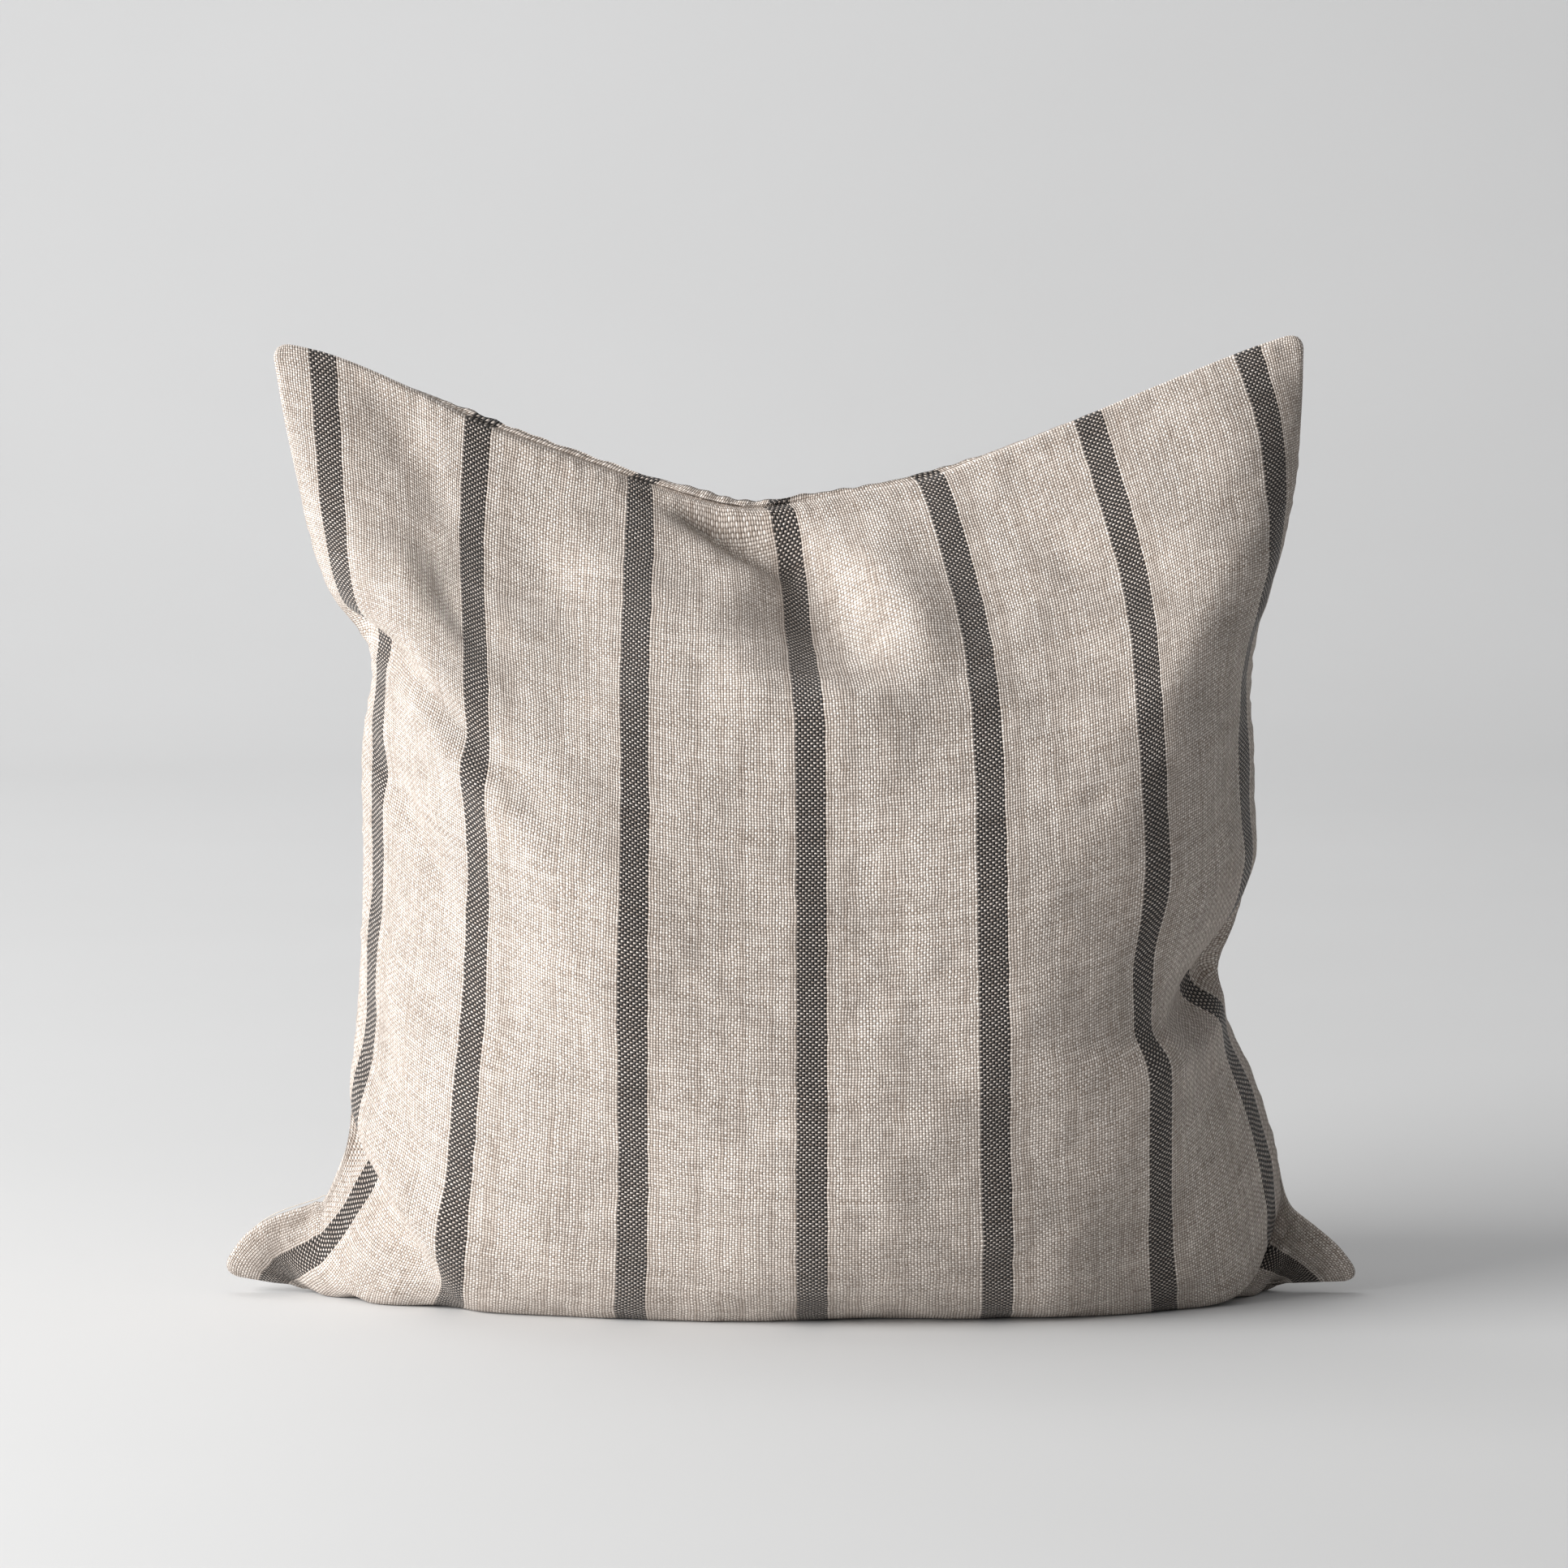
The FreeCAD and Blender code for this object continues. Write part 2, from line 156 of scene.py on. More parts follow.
def rim_distance(u, v):
    """How far each cloth point is from the nearest seam."""
    return np.minimum(np.minimum(u, SIDE - u), np.minimum(v, SIDE - v))


def flat_start(n):
    """Both panels, swollen a little between the four seam edges. Axes: panel, up, across, xyz."""
    top, bottom, left, right = seam_targets(n)
    share = np.linspace(0, 1, n + 1)
    v, u = np.meshgrid(share, share, indexing="ij")
    over, up = u[..., None], v[..., None]
    flat = (bottom[None] * (1 - up) + top[None] * up + left[:, None] * (1 - over) + right[:, None] * over
            - bottom[0] * ((1 - over) * (1 - up)) - bottom[-1] * (over * (1 - up))
            - top[0] * ((1 - over) * up) - top[-1] * (over * up))
    full = (1 - (1 - np.sin(np.pi * u)) ** 2) * (1 - (1 - np.sin(np.pi * v)) ** 2)
    depth = START_DEPTH * full * (1 + START_LOW_SWELL * np.cos(np.pi * v))
    cloth = np.zeros((2, n + 1, n + 1, 3))
    for panel, side in ((0, -1), (1, 1)):
        cloth[panel, ..., 0] = flat[..., 0]
        cloth[panel, ..., 1] = side * depth
        cloth[panel, ..., 2] = flat[..., 1] - START_SAG * full * np.exp(-(v / START_SAG_REACH) ** 2)
    cloth[..., 2] = np.maximum(cloth[..., 2], FLOOR_GAP)
    return cloth


RIMS = (np.s_[:, 0], np.s_[:, -1], np.s_[:, :, 0], np.s_[:, :, -1])


def weld(cloth):
    """Keeps the two panels together along the seam."""
    for rim in RIMS:
        middle = 0.5 * (cloth[rim][0] + cloth[rim][1])
        cloth[rim][0] = middle
        cloth[rim][1] = middle


def pull(a, b, rest, stretch, squeeze):
    """Moves two sets of points towards their rest distance, in place."""
    gap = b - a
    length = np.sqrt((gap * gap).sum(-1))
    error = length - rest
    strength = np.where(error > 0, stretch, squeeze)
    move = (0.5 * strength * error / np.maximum(length, 1e-9))[..., None] * gap
    a += move
    b -= move


def pull_threads(cloth, rest, squeeze):
    for odd in (0, 1):
        b = cloth[:, :, odd + 1::2]
        pull(cloth[:, :, odd:-1:2][:, :, :b.shape[2]], b, rest, STRETCH, squeeze)
    for odd in (0, 1):
        b = cloth[:, odd + 1::2]
        pull(cloth[:, odd:-1:2][:, :b.shape[1]], b, rest, STRETCH, squeeze)


def pull_diagonals(cloth, rest):
    for first, second in ((np.s_[:, :-1, :-1], np.s_[:, 1:, 1:]), (np.s_[:, :-1, 1:], np.s_[:, 1:, :-1])):
        a, b = cloth[first].copy(), cloth[second].copy()
        pull(a, b, rest * math.sqrt(2), SHEAR, SHEAR)
        cloth[first] += 0.5 * (a - cloth[first])
        cloth[second] += 0.5 * (b - cloth[second])


def straighten(cloth, stride, strength):
    """Bending stiffness: draws each point towards the middle of two others, stride cells away."""
    first, middle, last = slice(None, -2 * stride), slice(stride, -stride), slice(2 * stride, None)
    for before, at, after in ((np.s_[:, :, first], np.s_[:, :, middle], np.s_[:, :, last]),
                              (np.s_[:, first], np.s_[:, middle], np.s_[:, last])):
        bend = strength * (cloth[before] - 2 * cloth[at] + cloth[after])
        move = np.zeros_like(cloth)
        move[at] += 0.5 * bend
        move[before] -= 0.25 * bend
        move[after] -= 0.25 * bend
        cloth += move


def area_vectors(cloth):
    """Outward area at each point, and the volume between the panels."""
    one = cloth[:, 1:, 1:] - cloth[:, :-1, :-1]
    two = cloth[:, 1:, :-1] - cloth[:, :-1, 1:]
    area = 0.5 * np.cross(one, two)
    area[0] *= -1
    middle = 0.25 * (cloth[:, 1:, 1:] + cloth[:, :-1, :-1] + cloth[:, 1:, :-1] + cloth[:, :-1, 1:])
    volume = (middle * area).sum() / 3
    if volume < 0:
        area, volume = -area, -volume
    total = np.zeros_like(cloth)
    for corner in (np.s_[:, 1:, 1:], np.s_[:, :-1, :-1], np.s_[:, 1:, :-1], np.s_[:, :-1, 1:]):
        total[corner] += 0.25 * area
    return total, volume


def refined(cloth):
    n = cloth.shape[1] - 1
    fine = np.zeros((2, 2 * n + 1, 2 * n + 1, 3))
    fine[:, ::2, ::2] = cloth
    fine[:, 1::2, ::2] = 0.5 * (cloth[:, 1:] + cloth[:, :-1])
    fine[:, :, 1::2] = 0.5 * (fine[:, :, 2::2] + fine[:, :, :-1:2])
    return fine


def hold_seams(cloth, targets):
    top, bottom, left, right = targets
    for panel in (0, 1):
        for edge, target in ((np.s_[-1, :], top), (np.s_[:, 0], left), (np.s_[:, -1], right)):
            line = cloth[panel][edge]
            line[:, 0] += SEAM_PULL * (target[:, 0] - line[:, 0])
            line[:, 2] += SEAM_PULL * (target[:, 1] - line[:, 2])
            line[:, 1] *= 1 - SEAM_FLAT
        line = cloth[panel][0]
        line[:, 0] += BASE_SEAM_PULL[0] * (bottom[:, 0] - line[:, 0])
        line[:, 2] += BASE_SEAM_PULL[1] * (bottom[:, 1] - line[:, 2])
        line[:, 1] *= BASE_SEAM_KEPT
    weld(cloth)


def keep_apart(cloth, gap):
    """The back panel never passes through the front one."""
    short = 0.5 * np.maximum(gap - (cloth[1, ..., 1] - cloth[0, ..., 1]), 0)
    cloth[0, ..., 1] -= short
    cloth[1, ..., 1] += short


def rest_on_floor(cloth, before):
    under = cloth[..., 2] < FLOOR_GAP
    cloth[..., 2] = np.maximum(cloth[..., 2], FLOOR_GAP)
    for axis in (0, 1):
        held = before[..., axis] + 0.5 * (cloth[..., axis] - before[..., axis])
        cloth[..., axis] = np.where(under, held, cloth[..., axis])


def course_weights(n):
    """For each stripe, the cloth columns near it and how strongly it holds them."""
    across = np.linspace(0, SIDE, n + 1)
    return [np.exp(-((across - place) / COURSE_WIDTH) ** 2) * COURSE_PULL for place, _ in STRIPE_COURSES]


def follow_courses(cloth, weights):
    """Draws the front panel sideways until each stripe runs where it should."""
    front = cloth[0]
    n = front.shape[0] - 1
    for (place, course), weight in zip(STRIPE_COURSES, weights):
        column = min(int(round(place / SIDE * n)), n)
        heights, sides = zip(*course)
        line = front[:, column]
        error = np.interp(line[:, 2], heights, sides) - line[:, 0]
        error[line[:, 2] < heights[0]] = 0
        front[:, :, 0] += weight[None, :] * error[:, None]


def corner_fullness(n):
    """0 in the two empty bottom corners, 1 where the insert fills the cover."""
    share = np.linspace(0, SIDE, n + 1)
    v, u = np.meshgrid(share, share, indexing="ij")
    reach = np.minimum(u, SIDE - u) + v
    return smooth_step(reach, EMPTY_CORNER, FULL_CORNER)


def smooth_step(value, low, high):
    step = np.clip((value - low) / (high - low), 0, 1)
    return step * step * (3 - 2 * step)


def push_out(cloth, full):
    """Above the base, the insert keeps the two panels at least its own depth apart."""
    up = np.linspace(0, SIDE, cloth.shape[1])
    full = full * smooth_step(up, *BASE_CLOTH)[:, None]
    heights, left, right, deep = np.array(INSERT_PLAN).T
    x, z = cloth[..., 0], cloth[..., 2]
    reach = np.where(x < 0, np.interp(z, heights, left), np.interp(z, heights, right))
    inside = np.clip(1 - np.minimum(np.abs(x) / reach, 1) ** INSERT_SQUARENESS, 0, 1)
    depth = np.interp(z, heights, deep) * inside ** (1 / INSERT_SQUARENESS)
    for panel, side in ((0, -1), (1, 1)):
        short = np.maximum(depth[panel] - side * cloth[panel, ..., 1], 0)
        cloth[panel, ..., 1] += side * INSERT_PUSH * full * short


def settle_base(cloth):
    """The cloth beside the bottom seam spreads out on the floor, on a footprint with round ends."""
    up = np.linspace(0, SIDE, cloth.shape[1])[:, None]
    strength = BASE_PULL * (1 - smooth_step(up, *BASE_CLOTH))
    spread = np.minimum(up / BASE_CLOTH[1], 1)
    left, right, deep, left_square, right_square = FOOTPRINT
    drop = np.maximum(SEAM_HEIGHT * (1 - up / BASE_SLOPE), FLOOR_GAP)
    for panel, side in ((0, -1), (1, 1)):
        x, y, z = (cloth[panel, ..., axis] for axis in range(3))
        reach = np.where(x < 0, left, right)
        square = np.where(x < 0, left_square, right_square)
        inside = np.clip(1 - np.minimum(np.abs(x) / reach, 1) ** square, 0, 1)
        depth = deep * inside ** (1 / square)
        y += side * strength * np.maximum(depth * spread - side * y, 0)
        z -= strength * (depth > 0) * np.maximum(z - drop, 0)


def close_corners(cloth, full):
    """The two layers of an empty corner lie on each other."""
    middle = 0.5 * (cloth[0, ..., 1] + cloth[1, ..., 1])
    for panel, side in ((0, -1), (1, 1)):
        over = side * (cloth[panel, ..., 1] - middle) - 0.5 * CORNER_GAP
        cloth[panel, ..., 1] -= side * CORNER_CLOSING * (1 - full) * np.maximum(over, 0)


def relax(cloth, level, pressure):
    n, steps, squeeze, bending, passes, damping = level
    rest = SIDE / n
    share = np.linspace(0, 1, n + 1)
    v, u = np.meshgrid(share * SIDE, share * SIDE, indexing="ij")
    targets = seam_targets(n)
    gap = np.clip(rim_distance(u, v) * PANEL_GAP_SLOPE, 0, PANEL_GAP)
    full = corner_fullness(n)
    weights = course_weights(n)
    before = cloth.copy()
    for _ in range(steps):
        ahead = cloth + damping * (cloth - before)
        before = cloth
        cloth = ahead
        push, volume = area_vectors(cloth)
        pressure *= 1 + PRESSURE_CHANGE * np.clip((VOLUME - volume) / VOLUME, -0.5, 0.5)
        head = 1 + HEAD * (1 - cloth[..., 2:3] / HEAD_HEIGHT)
        cloth += pressure * full[None, ..., None] * head * push / rest
        cloth[..., 2] -= GRAVITY * rest
        for _ in range(passes):
            pull_threads(cloth, rest, squeeze)
            pull_diagonals(cloth, rest)
            weld(cloth)
        for stride, strength in bending:
            straighten(cloth, stride, strength)
        push_out(cloth, full)
        settle_base(cloth)
        follow_courses(cloth, weights)
        close_corners(cloth, full)
        hold_seams(cloth, targets)
        keep_apart(cloth, gap)
        rest_on_floor(cloth, before)
    return cloth, pressure


def filled_cover():
    cloth = flat_start(LEVELS[0][0])
    pressure = FIRST_PRESSURE
    levels = LEVELS
    for index, level in enumerate(levels):
        if index:
            cloth = refined(cloth)
        cloth, pressure = relax(cloth, level, pressure)
    return cloth


# ---------------------------------------------------------------- meshes

# Folds pressed into the cloth: a path of (across, up, depth inward), then the width to its left and right.
FRONT_FOLDS = [
    # the chop: a hollow that runs down from the low point of the top edge
    ([(0.218, 0.487, 0.009), (0.246, 0.468, 0.018), (0.262, 0.440, 0.020), (0.270, 0.412, 0.009),
      (0.274, 0.390, 0.0)], 0.021, 0.030),
    ([(0.175, 0.488, 0.0), (0.202, 0.477, -0.006), (0.230, 0.464, -0.007), (0.252, 0.452, -0.001)],
     0.009, 0.013),
    ([(0.190, 0.494, 0.002), (0.215, 0.487, 0.007), (0.240, 0.476, 0.004)], 0.009, 0.010),
    ([(0.228, 0.396, -0.003), (0.262, 0.392, -0.007), (0.298, 0.394, -0.003)], 0.016, 0.026),
    ([(0.285, 0.480, 0.0), (0.292, 0.455, -0.004), (0.300, 0.425, -0.004), (0.305, 0.395, 0.0)],
     0.014, 0.014),
    # the deep fold in the right side, under the upper bulge
    ([(0.500, 0.194, 0.008), (0.470, 0.194, 0.011), (0.440, 0.201, 0.011), (0.410, 0.210, 0.008),
      (0.375, 0.220, 0.004), (0.335, 0.234, 0.0)], 0.007, 0.022),
    ([(0.500, 0.180, -0.003), (0.465, 0.178, -0.005), (0.425, 0.188, -0.003), (0.380, 0.202, 0.0)],
     0.012, 0.006),
    ([(0.490, 0.250, -0.002), (0.440, 0.258, -0.004), (0.390, 0.262, -0.002)], 0.020, 0.020),
    # the pinch in the left side and the soft creases that run from it
    ([(0.000, 0.360, 0.008), (0.030, 0.357, 0.010), (0.060, 0.351, 0.006), (0.100, 0.336, 0.003),
      (0.150, 0.306, 0.0)], 0.010, 0.009),
    ([(0.055, 0.335, -0.001), (0.100, 0.318, -0.003), (0.150, 0.290, 0.0)], 0.012, 0.012),
    ([(0.010, 0.300, 0.0), (0.045, 0.285, 0.004), (0.090, 0.262, 0.0)], 0.012, 0.010),
    # where the full part of the cushion stands over the empty bottom corners
    ([(0.000, 0.118, 0.007), (0.030, 0.117, 0.010), (0.062, 0.112, 0.010), (0.084, 0.098, 0.008),
      (0.098, 0.074, 0.003), (0.102, 0.055, 0.0)], 0.008, 0.016),
    ([(0.006, 0.136, -0.002), (0.050, 0.134, -0.004), (0.088, 0.122, -0.004), (0.110, 0.090, 0.0)],
     0.016, 0.010),
    ([(0.030, 0.078, 0.0), (0.055, 0.062, 0.004), (0.080, 0.036, 0.0)], 0.008, 0.010),
    ([(0.500, 0.056, 0.006), (0.472, 0.062, 0.009), (0.445, 0.062, 0.008), (0.419, 0.056, 0.003),
      (0.400, 0.045, 0.0)], 0.014, 0.007),
    # shallow dents
    ([(0.040, 0.484, 0.0), (0.060, 0.474, 0.005), (0.090, 0.452, 0.001)], 0.016, 0.016),
    ([(0.115, 0.462, 0.001), (0.135, 0.446, 0.005), (0.160, 0.420, 0.0)], 0.016, 0.016),
    ([(0.330, 0.330, 0.0), (0.370, 0.290, 0.002), (0.400, 0.255, 0.003)], 0.020, 0.020),
    ([(0.060, 0.440, 0.0), (0.085, 0.400, 0.003), (0.130, 0.370, 0.0)], 0.012, 0.012),
    ([(0.350, 0.470, 0.0), (0.372, 0.440, 0.003), (0.420, 0.405, 0.003), (0.460, 0.385, 0.0)], 0.012, 0.012),
]
BACK_FOLDS = [
    ([(0.225, 0.488, 0.006), (0.240, 0.462, 0.010), (0.230, 0.420, 0.003), (0.222, 0.395, 0.0)],
     0.024, 0.018),
    ([(0.500, 0.196, 0.014), (0.465, 0.192, 0.010), (0.420, 0.180, 0.003), (0.380, 0.172, 0.0)],
     0.009, 0.014),
    ([(0.000, 0.360, 0.007), (0.035, 0.350, 0.005), (0.080, 0.330, 0.0)], 0.010, 0.011),
    ([(0.000, 0.100, 0.005), (0.040, 0.090, 0.007), (0.072, 0.062, 0.005), (0.084, 0.040, 0.0)],
     0.010, 0.009),
    ([(0.500, 0.066, 0.004), (0.468, 0.058, 0.006), (0.446, 0.036, 0.003)], 0.008, 0.009),
]
# Unevenness of the stuffed cloth: cells per side and height of each size of bump.
LUMPS = ((9, 0.0020), (20, 0.0011), (46, 0.0004))
# Folds fade in between these two distances from the seam.
FOLD_FADE = (0.001, 0.012)

RIM_LINES = (0.0, 0.0004, 0.001, 0.002, 0.0035)
CELL = 0.0026
EDGE_RADIUS = 0.0021
CORNER_RADIUS = 0.009
EDGE_BLEND = 0.006
FIRST_INNER_LINE = 0.0055

# Small puckers beside the seam: height, number of waves, their lengths and phases, and where they lie.
PUCKER_HEIGHT = 0.00035
PUCKER_WAVES = 5
PUCKER_LENGTHS = (0.008, 0.022)
PUCKER_PHASES = (0, 6.28)
PUCKER_PLACE = 0.004
PUCKER_WIDTH = 0.006
PUCKER_START = 0.002

# Random seed of the front panel's folds and puckers; the back takes the next one.
COVER_SEED = 11


def lines_across():
    """Cloth coordinates of the mesh lines: even, with more of them near both seams."""
    cells = int(round((SIDE - 2 * FIRST_INNER_LINE) / CELL))
    inner = np.linspace(FIRST_INNER_LINE, SIDE - FIRST_INNER_LINE, cells + 1)
    rim = np.array(RIM_LINES)
    return np.concatenate((rim, inner, SIDE - rim[::-1]))


def cubic(values, places, axis):
    """Catmull-Rom interpolation along one axis at places from 0 to 1."""
    values = np.moveaxis(values, axis, 0)
    n = values.shape[0] - 1
    padded = np.concatenate((2 * values[:1] - values[1:2], values, 2 * values[-1:] - values[-2:-1]))
    cell = np.minimum((places * n).astype(int), n - 1)
    t = (places * n - cell).reshape((-1,) + (1,) * (values.ndim - 1))
    a, b, c, d = (padded[cell + k] for k in range(4))
    result = 0.5 * (2 * b + (c - a) * t + (2 * a - 5 * b + 4 * c - d) * t ** 2
                    + (3 * b - a - 3 * c + d) * t ** 3)
    return np.moveaxis(result, 0, axis)


def sampled(surface, u, v):
    """A panel's points at cloth coordinates u across and v up, in metres."""
    return cubic(cubic(surface, v / SIDE, 0), u / SIDE, 1)


def surface_normals(points, outward):
    across = np.gradient(points, axis=1)
    up = np.gradient(points, axis=0)
    normal = np.cross(across, up)
    normal /= np.maximum(np.linalg.norm(normal, axis=-1, keepdims=True), 1e-12)
    middle = normal[normal.shape[0] // 2, normal.shape[1] // 2, 1]
    return normal if middle * outward > 0 else -normal


def waves(seed, length, count):
    """A smooth random curve along an edge, made of a few sines."""
    random = np.random.default_rng(seed)
    place = np.asarray(length)
    total = np.zeros_like(place)
    for _ in range(count):
        total += np.sin(2 * np.pi * place / random.uniform(*PUCKER_LENGTHS) + random.uniform(*PUCKER_PHASES))
    return total / math.sqrt(count)


def seam_detail(u, v, seed):
    """Outward lift of the cloth near the seam: a rolled edge and small puckers."""
    grid_v, grid_u = np.meshgrid(v, u, indexing="ij")
    rim = rim_distance(grid_u, grid_v)
    roll = EDGE_RADIUS * np.sqrt(np.clip(1 - (1 - np.minimum(rim / EDGE_RADIUS, 1)) ** 2, 0, 1))
    side_near = np.minimum(grid_u, SIDE - grid_u) < np.minimum(grid_v, SIDE - grid_v)
    along_side = grid_v + np.where(grid_u < SIDE / 2, 1, 2)
    along_end = grid_u + np.where(grid_v < SIDE / 2, 3, 4)
    pucker = PUCKER_HEIGHT * waves(seed, np.where(side_near, along_side, along_end), PUCKER_WAVES)
    pucker = pucker * np.exp(-((rim - PUCKER_PLACE) / PUCKER_WIDTH) ** 2) * np.minimum(rim / PUCKER_START, 1)
    return roll + pucker


def path_reach(u, v, path):
    """Distance from each cloth point to a path, on which side it lies, and the path's depth beside it."""
    best = np.full(u.shape, 1e9)
    side = np.zeros(u.shape)
    depth = np.zeros(u.shape)
    for (u0, v0, d0), (u1, v1, d1) in zip(path[:-1], path[1:]):
        run, rise = u1 - u0, v1 - v0
        share = np.clip(((u - u0) * run + (v - v0) * rise) / (run * run + rise * rise), 0, 1)
        away_u, away_v = u - u0 - share * run, v - v0 - share * rise
        distance = np.hypot(away_u, away_v)
        nearer = distance < best
        best = np.where(nearer, distance, best)
        side = np.where(nearer, np.sign(run * away_v - rise * away_u), side)
        depth = np.where(nearer, d0 + share * (d1 - d0), depth)
    return best, side, depth


def smoothed(field, passes):
    for _ in range(passes):
        padded = np.pad(field, 1, mode="edge")
        field = (padded[:-2, 1:-1] + padded[2:, 1:-1] + padded[1:-1, :-2] + padded[1:-1, 2:] + 4 * field) / 8
    return field


def soft_lumps(rows, seed):
    """Slight unevenness of a stuffed cloth: random bumps of several sizes."""
    random = np.random.default_rng(seed)
    total = np.zeros((rows, rows))
    share = np.linspace(0, 1, rows)
    for cells, height in LUMPS:
        field = random.uniform(-1, 1, (cells + 1, cells + 1))
        total += height * cubic(cubic(field, share, 0), share, 1)
    return total


def fold_depth(u, v, folds, seed):
    """How far each cloth point is pushed inward by the named folds."""
    total = soft_lumps(u.shape[0], seed)
    for path, left_width, right_width in folds:
        distance, side, depth = path_reach(u, v, path)
        width = np.where(side > 0, left_width, right_width)
        total += smoothed(depth * np.exp(-(distance / width) ** 2), 2)
    return total


def grid_faces(rows, columns, flip):
    index = np.arange(rows * columns).reshape(rows, columns)
    quads = np.stack((index[:-1, :-1], index[:-1, 1:], index[1:, 1:], index[1:, :-1]), -1).reshape(-1, 4)
    return quads[:, ::-1] if flip else quads


def mesh_object(name, points, faces, uv=None):
    mesh = bpy.data.meshes.new(name)
    faces = faces if isinstance(faces, list) else faces.tolist()
    mesh.from_pydata(np.asarray(points).reshape(-1, 3).tolist(), [], faces)
    mesh.polygons.foreach_set("use_smooth", [True] * len(mesh.polygons))
    if uv is not None:
        layer = mesh.uv_layers.new(name="cloth")
        loops = np.empty(len(mesh.loops), np.int64)
        mesh.loops.foreach_get("vertex_index", loops)
        layer.data.foreach_set("uv", np.asarray(uv).reshape(-1, 2)[loops].ravel())
    mesh.update()
    piece = bpy.data.objects.new(name, mesh)
    bpy.context.scene.collection.objects.link(piece)
    return piece


def between(grid, rows, columns):
    """The grid's points at fractional row and column numbers."""
    i = np.minimum(rows.astype(int), grid.shape[0] - 2)
    j = np.minimum(columns.astype(int), grid.shape[1] - 2)
    over_i, over_j = (rows - i)[..., None], (columns - j)[..., None]
    low = grid[i, j] * (1 - over_j) + grid[i, j + 1] * over_j
    high = grid[i + 1, j] * (1 - over_j) + grid[i + 1, j + 1] * over_j
    return low * (1 - over_i) + high * over_i


def blunt_corners(points, lines):
    """Rounds the four corners of the panel, as a sewn and turned corner is."""
    grid_v, grid_u = np.meshgrid(lines, lines, indexing="ij")
    past_u = np.sign(grid_u - SIDE / 2) * np.maximum(np.abs(grid_u - SIDE / 2) - SIDE / 2 + CORNER_RADIUS, 0)
    past_v = np.sign(grid_v - SIDE / 2) * np.maximum(np.abs(grid_v - SIDE / 2) - SIDE / 2 + CORNER_RADIUS, 0)
    share_u, share_v = past_u / CORNER_RADIUS, past_v / CORNER_RADIUS
    round_u = grid_u - past_u + past_u * np.sqrt(1 - 0.5 * share_v ** 2)
    round_v = grid_v - past_v + past_v * np.sqrt(1 - 0.5 * share_u ** 2)
    numbers = np.arange(len(lines))
    return between(points, np.interp(round_v, lines, numbers), np.interp(round_u, lines, numbers))


def cover_panel(name, surface, outward, seed, material):
    lines = lines_across()
    points = blunt_corners(sampled(surface, lines, lines), lines)
    normal = surface_normals(points, outward)
    rows = len(lines)
    lift = seam_detail(lines, lines, seed)
    flat = np.zeros_like(points)
    flat[..., 1] = outward
    grid_v, grid_u = np.meshgrid(lines, lines, indexing="ij")
    rim = rim_distance(grid_u, grid_v)
    near = np.clip(1 - rim / EDGE_BLEND, 0, 1)[..., None]
    direction = normal * (1 - near) + flat * near
    direction /= np.linalg.norm(direction, axis=-1, keepdims=True)
    folds = FRONT_FOLDS if outward < 0 else BACK_FOLDS
    inward = fold_depth(grid_u, grid_v, folds, seed) * smooth_step(rim, *FOLD_FADE)
    points = points + direction * (lift - inward)[..., None]
    points = clear_of_zip(points, outward)
    uv = np.stack((grid_u, grid_v), -1)
    panel = mesh_object(name, points, grid_faces(rows, rows, outward > 0), uv)
    panel.data.materials.append(material)
    return panel


ZIP_HALF = 0.178
ZIP_GAP = 0.0009
ZIP_END_BLEND = 0.002
BESIDE_ZIP = 0.02
# Half width and height of the slider's room, and where the cloth is back on the floor.
SLIDER_ROOM = (0.0042, 0.0083)
SLIDER_ROOM_END = 0.012


def clear_of_zip(points, outward):
    """Opens the bottom seam for the tapes, and lifts the cloth over the slider's path."""
    at_zip = 1 / (1 + np.exp((np.abs(points[..., 0]) - ZIP_HALF) / ZIP_END_BLEND))
    reach = np.abs(points[..., 1])
    low = points[..., 2] < BESIDE_ZIP
    open_y = np.maximum(reach, ZIP_GAP * at_zip)
    points[..., 1] = np.where(low, outward * open_y, points[..., 1])
    half, height = SLIDER_ROOM
    fade = np.clip((SLIDER_ROOM_END - reach) / (SLIDER_ROOM_END - half), 0, 1)
    floor = height * fade * at_zip
    points[..., 2] = np.where(low, np.maximum(points[..., 2], floor), points[..., 2])
    points[..., 2] = np.maximum(points[..., 2], FLOOR_GAP / 2)
    return points


# ---------------------------------------------------------------- insert

INSERT_SIDE = 0.45
INSERT_SHARE = 0.45
INSERT_ROUNDING = 0.2
INSERT_CLOSING = 0.25
INSERT_CELLS = 60
TICKING_INSET = 0.006
FIBRE_INSET = 0.011
FIBRE_WELD = 0.0002
INSERT_LEAST = 0.0003
INSERT_FLOOR = 0.004
ZIP_CLEARANCE = 0.029
ZIP_CLEARANCE_SLOPE = 0.7


